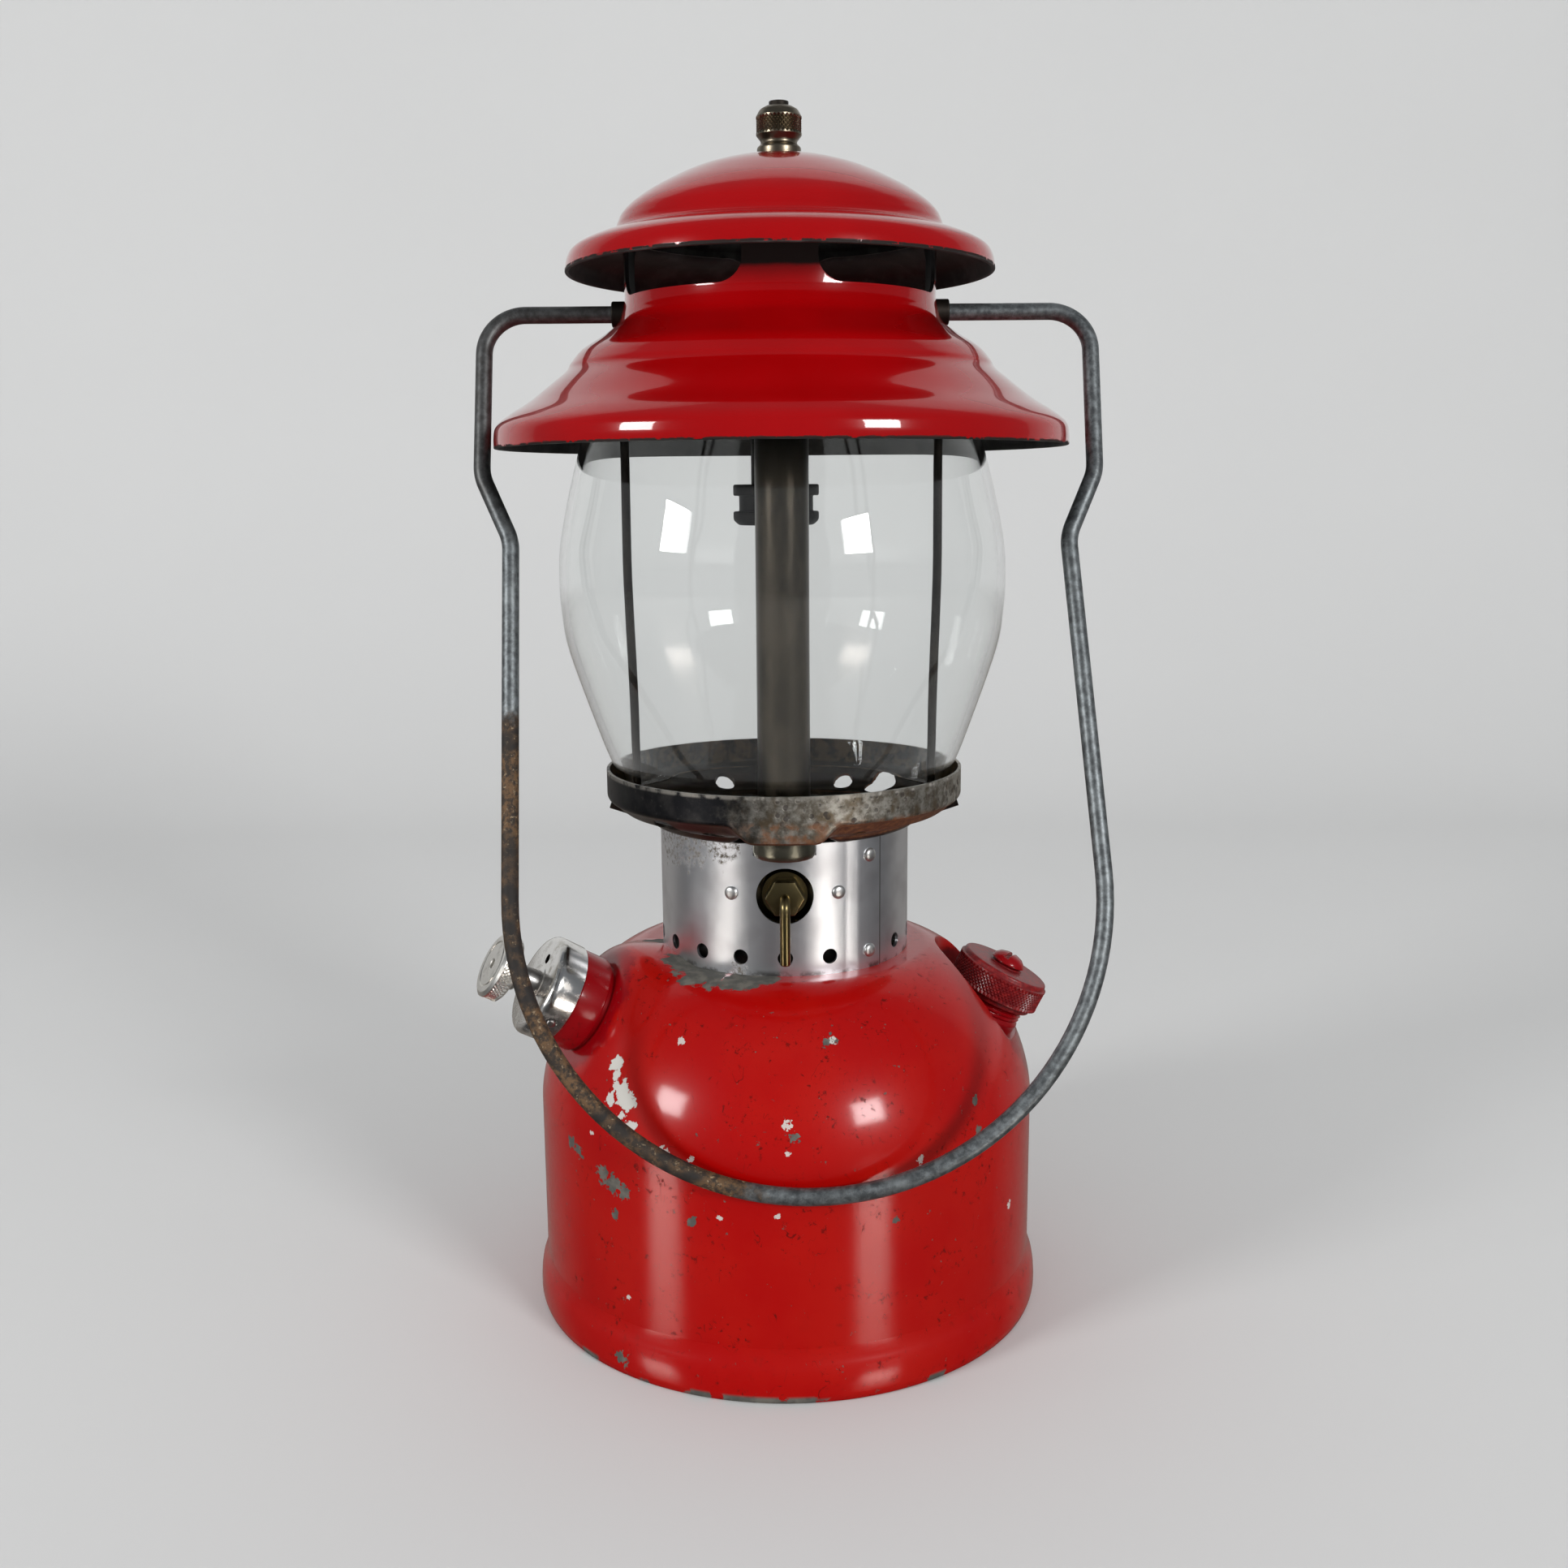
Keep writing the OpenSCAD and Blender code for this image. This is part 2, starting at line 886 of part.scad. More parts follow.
module frame_pan() {
    color("dimgray")
        difference() {
            union() {
                difference() {
                    turned([
                        [ring_r - thin_sheet, ring_top],
                        [ring_r, ring_top],
                        [ring_r, floor_z - thin_sheet],
                        [well_r, floor_z - thin_sheet],
                        [well_r, pan_z],
                        [0, pan_z],
                        [0, pan_z + thin_sheet],
                        [well_r - thin_sheet, pan_z + thin_sheet],
                        [well_r - thin_sheet, floor_z],
                        [ring_r - thin_sheet, floor_z]
                    ]);
                    front_block(boss_half, pan_z - 1, floor_z + 0.1, 0);
                }
                intersection() {
                    rod(ring_r, boss_z, ring_top);
                    difference() {
                        front_block(boss_half, boss_z, ring_top, 0);
                        intersection() {
                            front_block(boss_half, boss_z + thin_sheet, ring_top + 1, 1);
                            rod(ring_r - thin_sheet, boss_z, ring_top + 1);
                        }
                    }
                }
                intersection() {
                    rod(well_r, pan_z, floor_z);
                    difference() {
                        front_block(boss_half + thin_sheet, pan_z, floor_z, 1);
                        front_block(boss_half, pan_z - 1, floor_z + 1, 0);
                    }
                }
            }
            translate([0, air_y, 0])
                rod(air_r, pan_z - 5, floor_z + 5);
            valve_axis()
                rod(generator_r + 1.5, pan_z - 5, pan_z + 5);
            for (turn = [64.5, 115.5, -64.5, -115.5])
                rotate([0, 0, turn])
                    translate([vent_hole_r, 0, 0])
                        rod(2.9, floor_z - 3, floor_z + 3);
            for (turn = [47, 227])
                rotate([0, 0, turn])
                    translate([vent_hole_r + 0.6, 0, 0])
                        rod(4.7, floor_z - 3, floor_z + 3);
            for (side = [-1, 1])
                translate([side * post_foot_x, 0, 0])
                    rod(post_d / 2 + 0.1, floor_z - 3, floor_z + 3);
        }
}

// A block at the pan's front, about the air tube's foot, longer toward the back by the given amount of sheet
module front_block(half, z0, z1, sheets) {
    depth = boss_back + sheets * thin_sheet + ring_r + 5;
    translate([-half, -ring_r - 5, z0])
        cube([2 * half, depth, z1 - z0]);
}

// A post's path from its bent foot to the bridge: [x, z]
post_path = [
    [ring_r - 0.9, floor_z - thin_sheet - post_d / 2],
    [post_foot_x, floor_z - thin_sheet - post_d / 2],
    [post_top_x, bridge_z + 3]
];

module frame_posts() {
    color("saddlebrown")
        for (turn = [0, 180])
            rotate([0, 0, turn])
                rotate([90, 0, 0])
                    wire(post_path, [0, 1.5, 0], post_d);
}

module top_bridge() {
    half = post_top_x + 2;
    color("dimgray")
        difference() {
            translate([-half, -6, bridge_z])
                cube([2 * half, 12, 2]);
            rod(stud_r, bridge_z - 1, bridge_z + 3);
            for (side = [-1, 1])
                translate([side * post_top_x, 0, 0])
                    rod(post_d / 2 + 0.02, bridge_z - 1, bridge_z + 3);
        }
}

module top_stud() {
    color("dimgray") {
        rod(stud_r, bridge_z, stud_top);
        rod(5, bridge_z + 2, bridge_z + 4.5);
        rod(4.5, cap_top - vent_sheet - 2.3, cap_top - vent_sheet - 0.3);
    }
}

// Globe

globe_curve = smooth([
    [globe_r - 12.4, globe_top],
    [globe_r - 5.9, globe_top - 18],
    [globe_r - 1.1, globe_top - 38],
    [globe_r, globe_top - 49],
    [globe_r - 0.4, globe_top - 59],
    [globe_r - 2.3, globe_top - 70],
    [globe_r - 9.7, globe_top - 92],
    [globe_r - 13.4, ring_top],
    [globe_foot_r, floor_z]
], 3);

module globe() {
    color("white", 0.35)
        pressed(globe_curve, glass);
}

// Ventilator

hood_curve = concat([[neck_r, neck_top]], smooth([
    [neck_r, pivot_z + 3],
    [neck_r + 0.6, pivot_z],
    [neck_r + 2, pivot_z - 3],
    [neck_r + 6.3, pivot_z - 6.3],
    [neck_r + 11.4, pivot_z - 9.6],
    [neck_r + 14.2, pivot_z - 12.8],
    [neck_r + 15.4, pivot_z - 14.8],
    [hood_r - 15.4, pivot_z - 17.7],
    [hood_r - 9.4, pivot_z - 22.4],
    [hood_r - 3.7, pivot_z - 26],
    [hood_r - 0.7, pivot_z - 28.6],
    [hood_r, hood_rim_z + 2.6],
    [hood_r, hood_rim_z]
], 2));

module vent_hood() {
    pillar_half = 13;
    half_w = neck_r * sin(45 - pillar_half);
    sill_z = pivot_z + 3.2;
    color("firebrick")
        difference() {
            pressed(hood_curve, vent_sheet);
            for (turn = [45 : 90 : 315])
                rotate([90, 0, turn + 90])
                    translate([0, sill_z, neck_r - 15])
                        linear_extrude(30)
                            rounded_window(2 * half_w, neck_top - 1.5 - sill_z, 5.5);
            translate([-neck_r - 10, 0, pivot_z])
                rotate([0, 90, 0])
                    rod(ear_r, 0, 2 * neck_r + 20);
        }
}

cap_curve = smooth([
    [stud_r + 0.3, cap_top],
    [neck_r * 0.3, cap_top - 1.1],
    [neck_r * 0.62, cap_top - 4.7],
    [neck_r * 0.85, cap_top - 9.4],
    [neck_r - 1.1, cap_top - 12],
    [neck_r + 0.2, cap_top - 14.5],
    [neck_r + 1, cap_top - 16.9],
    [neck_r + 3.2, cap_top - 18.1],
    [cap_r - 6.4, cap_top - 20.1],
    [cap_r - 2.2, cap_top - 22.5],
    [cap_r - 0.6, cap_top - 25.2],
    [cap_r, cap_top - 28.9]
], 2);

module vent_cap() {
    color("firebrick")
        pressed(cap_curve, vent_sheet);
}

module ball_nut() {
    color("darkkhaki")
        difference() {
            turned([
                [0, nut_top],
                [3.2, nut_top],
                [4.9, nut_top - 0.9],
                [nut_r, nut_top - 2.6],
                [nut_r, nut_top - 6.9],
                [4.65, nut_top - 8.4],
                [4.65, nut_top - 9.2],
                [5.6, nut_top - 10],
                [5.6, cap_top],
                [0, cap_top]
            ]);
            rod(stud_r + fit, cap_top - 1, nut_top + 1);
        }
}

// Bail

module bail_ears() {
    color("black")
        for (turn = [0, 180])
            rotate([0, 0, turn])
                translate([0, 0, pivot_z])
                    rotate([0, 90, 0])
                        tube(ear_r, bail_r + fit, ear_in, ear_out);
}

module bail() {
    color("slategray")
        translate([0, 0, pivot_z])
            rotate([90 - bail_lean, 0, 0]) {
                wire(bail_path, bail_bends, bail_d + 0.1);
                for (turn = [-90, 90])
                    rotate([0, turn, 0])
                        rod(bail_r, ear_in - 1.6, ear_out + 3);
            }
}

tank_shell();
tank_bottom();
filler_neck();
filler_gasket();
filler_insert();
filler_cap();
filler_screw();
pump_barrel();
pump_check_valve();
pump_cap();
pump_cap_pins();
pump_air_stem();
pump_rod();
pump_cup();
pump_cup_nut();
pump_knob();
collar();
collar_rivets();
valve_boss();
valve_body();
fuel_tube();
valve_packing_nut();
valve_stem();
valve_wheel();
wheel_screw();
cleaner_nut();
cleaner_lever();
cleaner_needle();
generator_nut();
generator_tube();
gas_tip();
frame_pan();
frame_posts();
top_bridge();
top_stud();
air_tube();
air_tube_ferrule();
burner_manifold();
burner_tube();
burner_cap();
burner_screen();
globe();
vent_hood();
vent_cap();
ball_nut();
bail_ears();
bail();
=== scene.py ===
import math

import bmesh
import bpy
from mathutils import Matrix, Vector


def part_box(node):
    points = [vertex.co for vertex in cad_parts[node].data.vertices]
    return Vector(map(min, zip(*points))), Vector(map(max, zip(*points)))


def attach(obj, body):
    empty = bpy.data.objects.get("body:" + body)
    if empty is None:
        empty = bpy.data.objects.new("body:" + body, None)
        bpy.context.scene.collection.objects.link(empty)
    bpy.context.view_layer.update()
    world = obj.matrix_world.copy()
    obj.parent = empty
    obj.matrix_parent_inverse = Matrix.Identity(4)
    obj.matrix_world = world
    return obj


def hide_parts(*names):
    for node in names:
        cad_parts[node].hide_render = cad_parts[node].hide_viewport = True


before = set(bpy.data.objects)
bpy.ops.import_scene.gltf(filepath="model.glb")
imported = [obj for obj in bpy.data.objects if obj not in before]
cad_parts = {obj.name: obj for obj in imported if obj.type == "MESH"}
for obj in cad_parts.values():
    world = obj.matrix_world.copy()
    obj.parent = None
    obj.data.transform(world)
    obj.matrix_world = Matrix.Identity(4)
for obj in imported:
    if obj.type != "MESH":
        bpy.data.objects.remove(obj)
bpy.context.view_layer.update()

bl_info = {
    "name": "Gasoline lantern",
    "version": (1, 0, 0),
    "blender": (4, 5, 0),
    "location": "3D View > Sidebar > Lantern",
    "description": "Dresses the packed lantern with its pressed sheet, wire, glass and worn finishes",
    "category": "Object",
}

MM = 0.001
FULL_TURN = 2 * math.pi
FINE_STEPS = 240
SMALL_STEPS = 72

# Heights of the stack in millimetres
TANK_TOP = 98.3
PAN_Z = 133.0
RING_FOOT = 140.3
RING_TOP = 147.9
GLOBE_TOP = 249.0
HOOD_RIM = 231.9
PIVOT_Z = 266.0
NECK_TOP = 286.3
CAP_TOP = 304.5
NUT_TOP = 316.4
CLEANER_Z = 119.4
VALVE_Z = 116.5
HOLES_Z = 103.0
PUMP_Z = 54.2

# Other sizes in millimetres, and turns in degrees
COLLAR_RADIUS = 33.7
NECK_RADIUS = 40.0
SHEET = 1.0
THIN_SHEET = 0.8
FILLER_AT = (55.2, 0, 78.2)
FILLER_TILT = 27
PUMP_TURN, PUMP_TILT = 202, 60
PIN_TURNS = (63, 243)
AIR_TUBE_AT = (0, -35, 0)
GENERATOR_AT = (0, 19, 0)
BURNER_AT = (-1.5, 0, 0)
LAP_START, LAP_END = 28, 46.7
PAN_DISH = [
    (37, 134.9), (38.6, 135.4), (40.2, 135.95), (41.8, 136.45), (43.4, 137), (44.8, 138), (46, 139.2),
]
BOSS_Z, BOSS_HALF, BOSS_EASE = 136.0, 14.5, 6.5
BAIL_LEAN = 18.459

# The camera and lamps, in metres and degrees, with the sensor in millimetres
CAMERA_AT = (0, -0.4236, 0.2206)
CAMERA_PITCH, CAMERA_ROLL = 10.469, -0.45
SENSOR = 36
LAMP_TARGET = (0, 0, 0.16)


def rotated(axis, degrees):
    return Matrix.Rotation(math.radians(degrees), 4, axis)


def moved(x, y, z):
    return Matrix.Translation((x, y, z))


def pump_place():
    """The frame whose Z runs out along the pump's axis."""
    return moved(0, 0, PUMP_Z) @ rotated("Z", PUMP_TURN) @ rotated("Y", PUMP_TILT)


def filler_place():
    """The frame whose Z runs out along the filler's axis, from the floor of its pocket."""
    return moved(*FILLER_AT) @ rotated("Y", FILLER_TILT)


def across_place(height, y=0.0):
    """The frame whose Z runs back along +Y at the given height."""
    return moved(0, y, height) @ rotated("X", -90)


# Settings


def length(name, description, default):
    return bpy.props.FloatProperty(
        name=name, description=description, default=default, unit="LENGTH", precision=4
    )


def colour(name, description, default):
    return bpy.props.FloatVectorProperty(
        name=name, description=description, default=default, size=3, min=0, max=1, subtype="COLOR"
    )


def half_width(node):
    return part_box(node)[1].x


class LanternSizes(bpy.types.PropertyGroup):
    """Sizes of the pressed and turned pieces."""

    tank_radius: length("Tank radius", "Outside radius of the tank's wall", half_width("tank_shell"))
    rim_radius: length("Rim radius", "Outside radius of the bottom pan's rim", half_width("tank_bottom"))
    ring_radius: length("Ring radius", "Outside radius of the globe's ring", half_width("frame_pan"))
    hood_radius: length("Hood radius", "Outside radius of the hood's rim", half_width("vent_hood"))
    cap_radius: length("Cap radius", "Outside radius of the ventilator cap's brim", half_width("vent_cap"))
    globe_radius: length("Globe radius", "Largest outside radius of the globe", half_width("globe"))
    glass: length("Glass", "Thickness of the glass", 0.002)
    bail_wire: length("Bail wire", "Diameter of the bail's wire", 0.0043)
    post_wire: length("Post wire", "Diameter of the frame's posts", 0.0024)
    knurl_depth: length("Knurl depth", "Depth of the knurls on the caps and nuts", 0.00038)


class LanternColours(bpy.types.PropertyGroup):
    """Colours of the finishes."""

    tank_red: colour("Tank red", "Worn paint of the tank", (0.365, 0.0005, 0.0003))
    tank_faded: colour("Faded red", "Paler patches of the tank's paint", (0.395, 0.004, 0.0015))
    fresh_red: colour("Touch-up red", "Darker paint brushed round the pump and filler", (0.25, 0.0005, 0.003))
    hood_red: colour("Enamel red", "Enamel of the ventilator", (0.30, 0.0004, 0.0012))
    cap_red: colour("Cap red", "Lacquer of the filler cap", (0.15, 0.004, 0.006))
    primer: colour("Primer grey", "Primer where paint has flaked", (0.088, 0.086, 0.077))
    bare: colour("Bare metal", "Pale metal where paint has chipped off", (0.58, 0.56, 0.52))
    soot: colour("Soot", "Dark underside of the ventilator", (0.014, 0.013, 0.012))
    zinc: colour("Zinc", "Galvanised wire of the bail", (0.24, 0.262, 0.27))
    rust: colour("Rust", "Rust on the bail and the pan", (0.145, 0.078, 0.034))
    nickel: colour("Nickel", "Plated collar", (0.82, 0.835, 0.865))
    steel: colour("Burnt steel", "Heated steel of the ring", (0.42, 0.40, 0.355))


class LanternStage(bpy.types.PropertyGroup):
    """Floor, lamps and camera."""

    floor: colour("Floor", "Colour of the floor and backdrop", (0.70, 0.70, 0.695))
    reflected: colour("Room", "Colour of the room as the shiny pieces reflect it", (0.34, 0.365, 0.40))
    table: colour("Table", "Colour of the floor as the shiny pieces reflect it", (0.30, 0.27, 0.24))
    window_power: bpy.props.FloatProperty(
        name="Window power", description="Power of each of the two window lamps", default=19, unit="POWER"
    )
    top_power: bpy.props.FloatProperty(
        name="Top power", description="Power of the broad lamp overhead", default=11, unit="POWER"
    )
    ambient: bpy.props.FloatProperty(
        name="Ambient", description="Strength of the even light from all round", default=0.40, min=0, max=2
    )
    lens: bpy.props.FloatProperty(
        name="Lens", description="Focal length of the camera", default=36.27, unit="CAMERA"
    )


def sizes():
    return bpy.context.scene.lantern_sizes


def colours():
    return bpy.context.scene.lantern_colours


def mm(value):
    return value / MM


# Shader maths


class Sock:
    """An output socket that takes part in arithmetic: each operation adds a Math node."""

    def __init__(self, finish, socket):
        self.finish = finish
        self.socket = socket

    def math(self, operation, *values):
        return self.finish.node("ShaderNodeMath", {"operation": operation}, dict(enumerate(values)))

    def __add__(self, other):
        return self.math("ADD", self, other)

    def __sub__(self, other):
        return self.math("SUBTRACT", self, other)

    def __rsub__(self, other):
        return self.math("SUBTRACT", other, self)

    def __mul__(self, other):
        return self.math("MULTIPLY", self, other)

    def __truediv__(self, other):
        return self.math("DIVIDE", self, other)

    __radd__ = __add__
    __rmul__ = __mul__

    def most(self, other):
        return self.math("MAXIMUM", self, other)

    def size(self):
        return self.math("ABSOLUTE", self)

    def over(self, low, high):
        """Nought up to low, one from high on, and smooth between them. Low may be above high."""
        flip = low > high
        ends = {"From Min": min(low, high), "From Max": max(low, high)}
        settings = {"interpolation_type": "SMOOTHSTEP"}
        step = self.finish.node("ShaderNodeMapRange", settings, {"Value": self, **ends})
        return 1 - step if flip else step


class Nodes:
    """A shader tree whose nodes are added by type, settings and socket values."""

    def __init__(self, tree):
        self.tree = tree

    def feed(self, socket, value):
        if isinstance(value, Sock):
            self.tree.links.new(value.socket, socket)
        elif socket.type == "RGBA":
            socket.default_value = (*value[:3], 1)
        else:
            socket.default_value = value

    def node(self, kind, settings=None, inputs=None, output=0):
        made = self.tree.nodes.new(kind)
        for key, value in (settings or {}).items():
            setattr(made, key, value)
        for key, value in (inputs or {}).items():
            self.feed(made.inputs[key], value)
        return Sock(self, made.outputs[output])

    def blend(self, factor, first, second):
        return self.node("ShaderNodeMix", {"data_type": "RGBA"}, {0: factor, 6: first, 7: second}, output=2)

    def mirrored(self):
        """One for what is seen by reflection, and nought for what is seen straight or through glass."""
        ray = self.node("ShaderNodeLightPath", output="Is Glossy Ray")
        return ray * (1 - Sock(self, ray.socket.node.outputs["Is Transmission Ray"]))


class Finish(Nodes):
    """A material on a Principled shader."""

    def __init__(self, name):
        self.material = bpy.data.materials.new(name)
        self.material.use_nodes = True
        super().__init__(self.material.node_tree)
        self.shader = next(n for n in self.tree.nodes if n.type == "BSDF_PRINCIPLED")
        self.place = self.node("ShaderNodeTexCoord", output="Object")

    def axes(self):
        """Object coordinates in millimetres, one socket each."""
        scaled = self.node(
            "ShaderNodeVectorMath", {"operation": "SCALE"}, {"Vector": self.place, "Scale": 1 / MM}
        )
        split = self.node("ShaderNodeSeparateXYZ", inputs={0: scaled})
        return [Sock(self, s) for s in split.socket.node.outputs]

    def stretched(self, x, y, z):
        return self.node("ShaderNodeMapping", inputs={"Vector": self.place, "Scale": (x, y, z)})

    def noise(self, grain, detail=3.0, rough=0.55, at=None, twist=0.0):
        """Noise with features about the given number of millimetres across."""
        values = {"Vector": at or self.place, "Scale": 1 / (grain * MM), "Detail": detail}
        values |= {"Roughness": rough, "Distortion": twist}
        return self.node("ShaderNodeTexNoise", inputs=values)

    def cells(self, grain):
        return self.node("ShaderNodeTexVoronoi", inputs={"Vector": self.place, "Scale": 1 / (grain * MM)})

    def from_point(self, point):
        """Distance from a point, both in millimetres."""
        far = self.node(
            "ShaderNodeVectorMath",
            {"operation": "DISTANCE"},
            {0: self.place, 1: [c * MM for c in point]},
            output="Value",
        )
        return far / MM

    def patches(self, places, ragged, grain=5.0, detail=6.0):
        """One inside ragged patches, each (x, y, z, radius) in millimetres."""
        edge = (self.noise(grain, detail, 0.62) - 0.5) * ragged
        mask = None
        for x, y, z, radius in places:
            inside = (self.from_point((x, y, z)) / radius + edge).over(1.04, 0.92)
            mask = inside if mask is None else mask.most(inside)
        return mask

    def bump(self, height, depth, strength=1.0):
        """A relief of the given depth in millimetres."""
        return self.node(
            "ShaderNodeBump", inputs={"Height": height, "Distance": depth * MM, "Strength": strength}
        )

    def shade(self, **values):
        for name, value in values.items():
            self.feed(self.shader.inputs[name.replace("_", " ").title().replace("Ior", "IOR")], value)
        return self.material


# Finishes

# Worn places, each (x, y, z, radius) in millimetres
PRIMER_PATCHES = [
    (-20, -30, 98.3, 7.5), (-27, -23, 98.3, 6.0), (-11, -35, 98, 6.0), (-5, -36, 98, 3.5),
    (-44.5, -7, 95.5, 3.6), (-35.5, -3, 98.3, 4.0),
]
PALE_CHIPS = [
    (-42.8, -44.1, 78.8, 1.9), (-42.6, -45.5, 76.6, 1.5), (-41.2, -49.0, 73.5, 2.9),
    (-39.5, -51.2, 71.5, 2.6), (-44.2, -48.2, 71.0, 2.0), (-38.4, -54.3, 66.8, 1.7),
    (-41.5, -52.0, 68.5, 1.3),
]
RIM_CHIPS = [
    (-13.2, -68.7, 1.0, 4.0), (-6, -69.6, 0.6, 4.6), (2.8, -69.9, 1.0, 4.0), (-33.6, -61.3, 6, 2.2),
    (-22, -66, 0.8, 3.0), (37.6, -58.9, 1.5, 2.6), (-51.7, -47.1, 2.0, 3.2), (52, 46, 1.5, 3.6),
    (-20, 67, 1.0, 4.2), (68, 10, 1.2, 3.0),
]
COLLAR_STAINS = [
    (-25, -22, 132.5, 8), (-18, -28, 133, 5.5), (-29, -16, 132, 8), (-14, -31, 131.5, 3),
    (-12, -32, 99.5, 2.6),
]
GREY_SPECKS = [
    (-46.3, -49.8, 51.6, 2.2), (-43.4, -52.3, 50.4, 2.5), (-40.6, -54.5, 49.2, 2.0),
    (-55.5, -39.2, 56.2, 1.6), (-53.4, -42.0, 55.0, 1.8), (-23.2, -63.9, 45.6, 1.2),
    (26.8, -62.5, 44.9, 1.0), (47.8, -45.2, 69.0, 1.0), (48.1, -47.4, 61.9, 1.2),
    (1.9, -66.1, 68.0, 1.1), (10.6, -53.9, 88.1, 1.6), (-43.3, -52.4, 42.4, 1.2),
    (-42.0, -55.9, 4.9, 1.9),
]
PALE_SPECKS = [
    (-30.3, -60.3, 62.1, 1.3), (32.6, -59.6, 59.3, 1.0), (-26.0, -49.5, 86.9, 0.9),
    (0.2, -65.2, 70.7, 1.1), (0.2, -67.1, 64.5, 0.7), (-23.2, -63.5, 61.8, 0.7),
    (58.3, -35.0, 35.6, 1.0), (-16.5, -66.0, 47.6, 0.6), (-2.5, -67.9, 48.8, 0.6),
    (-40.2, -54.9, 20.8, 0.6), (-49.3, -46.3, 61.5, 0.6), (11.5, -53.6, 88.2, 0.8),
]


def tank_paint():
    """Worn red paint over grey primer and pale metal."""
    f, c = Finish("tank_red"), colours()
    x, y, z = f.axes()
    broad, fine = f.noise(26, 3), f.noise(1.6, 4, 0.6)
    paint = f.blend(broad.over(0.34, 0.68), c.tank_red, c.tank_faded)
    brushed = f.patches([(-52.6, -21.2, 87, 18.6), (*FILLER_AT, 21.8)], 0.5, 7, 4)
    paint = f.blend(brushed, paint, c.fresh_red)
    grime = f.noise(7, 6, 0.7).over(0.57, 0.74) * z.over(26, 4)
    paint = f.blend(grime * 0.55, paint, (0.13, 0.006, 0.004))
    # Painted shade: the tank's top inside the collar is painted near black, standing in for the collar's
    # shadow.
    shade = (x * x + y * y).over(33.5**2, 32.9**2) * z.over(97, 97.9)
    paint = f.blend(shade, paint, (0.02, 0.012, 0.01))
    specks = f.noise(2.1, 5, 0.7).over(0.665, 0.69)
    scratch = 1 - (f.noise(6, 2, 0.5, f.stretched(1, 1, 0.5), 1.2) - 0.5).size().over(0.003, 0.009)
    scratch = scratch * f.noise(5, 4, 0.6).over(0.55, 0.63)
    scratch = scratch.most(f.noise(13, 2).over(0.48, 0.6) * f.noise(1.7, 5, 0.75).over(0.575, 0.63))
    paint = f.blend(scratch * 0.8, paint, (0.09, 0.004, 0.003))
    edge = f.noise(9, 7, 0.7).over(0.55, 0.6) * z.over(1.9, 0.7)
    rim = f.patches(RIM_CHIPS, 2.2, 3.4) * z.over(2.6, 1.5)
    primer = f.patches(PRIMER_PATCHES, 2.1, 5).most(rim).most(edge)
    primer = primer.most(f.patches(GREY_SPECKS, 4.4, 1.5, 4)).most(specks * 0.8)
    pale = f.patches(PALE_CHIPS, 3.2, 2.2, 4).most(f.patches(PALE_SPECKS, 4.2, 1.1, 3) * 0.85)
    stained = f.blend(f.noise(3.4, 6).over(0.4, 0.66), c.primer, (0.15, 0.14, 0.12))
    surface = f.blend(pale, f.blend(primer, paint, stained), c.bare)
    worn = primer.most(pale)
    relief = f.bump((1 - worn) * 0.75 + f.noise(0.9, 2) * 0.06 + broad * 0.2, 0.12)
    return f.shade(
        base_color=surface, roughness=0.27 + fine * 0.12 + worn * 0.27,
        coat_weight=(1 - worn.most(scratch)) * 0.8, coat_roughness=0.12, coat_ior=1.33,
        specular_ior_level=0.1, normal=relief,
    )


def hood_enamel():
    """Deep glossy enamel with small chips to black along its edges, and painted shade under the cap."""
    f, c = Finish("red_enamel"), colours()
    x, y, z = f.axes()
    depth = f.blend(f.noise(30, 3).over(0.35, 0.7), c.hood_red, (0.335, 0.0008, 0.002))
    rims = z.over(HOOD_RIM + 1.3, HOOD_RIM + 0.35).most(1 - (z - 275.9).size().over(0.35, 0.9))
    edge = (f.noise(5, 6, 0.68) + rims * 0.34).over(0.74, 0.79) * rims
    spots = f.noise(1.7, 4, 0.7).over(0.755, 0.78)
    chip = f.patches([(-10.5, -2.5, 304, 4.2), (-6.5, -5, 304, 3), (-16.5, -47.6, 276.6, 2.4)], 1.2, 3)
    # Painted shade: the neck's top just under the cap is painted near black and matte, standing in for the
    # cap's shadow; this shade shares one mask with the chips below.
    under_cap = (z + f.noise(5, 3) * 0.5).over(272.5, 273.7) * z.over(282, 280)
    painted_cap_shade = (x * x + y * y).over(41.5**2, 40.8**2) * under_cap
    chips_and_cap_shade = edge.most(spots).most(chip).most(painted_cap_shade)
    peel = f.noise(3.2, 2) * 0.035 + f.noise(14, 2) * 0.12
    return f.shade(
        base_color=f.blend(chips_and_cap_shade, depth, (0.022, 0.014, 0.013)),
        roughness=0.16 + f.noise(2, 4) * 0.06 + chips_and_cap_shade * 0.4, coat_weight=1 - chips_and_cap_shade,
        coat_roughness=0.035, coat_ior=1.38, specular_ior_level=0.1,
        normal=f.bump(peel - chips_and_cap_shade * 0.3, 0.15),
    )


def soot_black():
    """The dull dark underside of the ventilator."""
    f, c = Finish("soot_black"), colours()
    cloud = f.noise(12, 5, 0.65)
    tone = f.blend(cloud.over(0.42, 0.7), c.soot, (0.06, 0.058, 0.054))
    return f.shade(base_color=tone, roughness=0.5 + cloud * 0.25, normal=f.bump(f.noise(1.2, 5), 0.06))


def filler_lacquer():
    """Dark red lacquer on the filler cap, worn brighter on its high spots."""
    f, c = Finish("cap_red"), colours()
    wear = f.noise(1.3, 4, 0.7)
    tone = f.blend(wear.over(0.42, 0.7), c.cap_red, (0.30, 0.012, 0.012))
    return f.shade(
        base_color=tone, roughness=0.34 + wear * 0.18, coat_weight=0.2, coat_roughness=0.2,
        specular_ior_level=0.3, normal=f.bump(f.noise(0.8, 3), 0.01),
    )


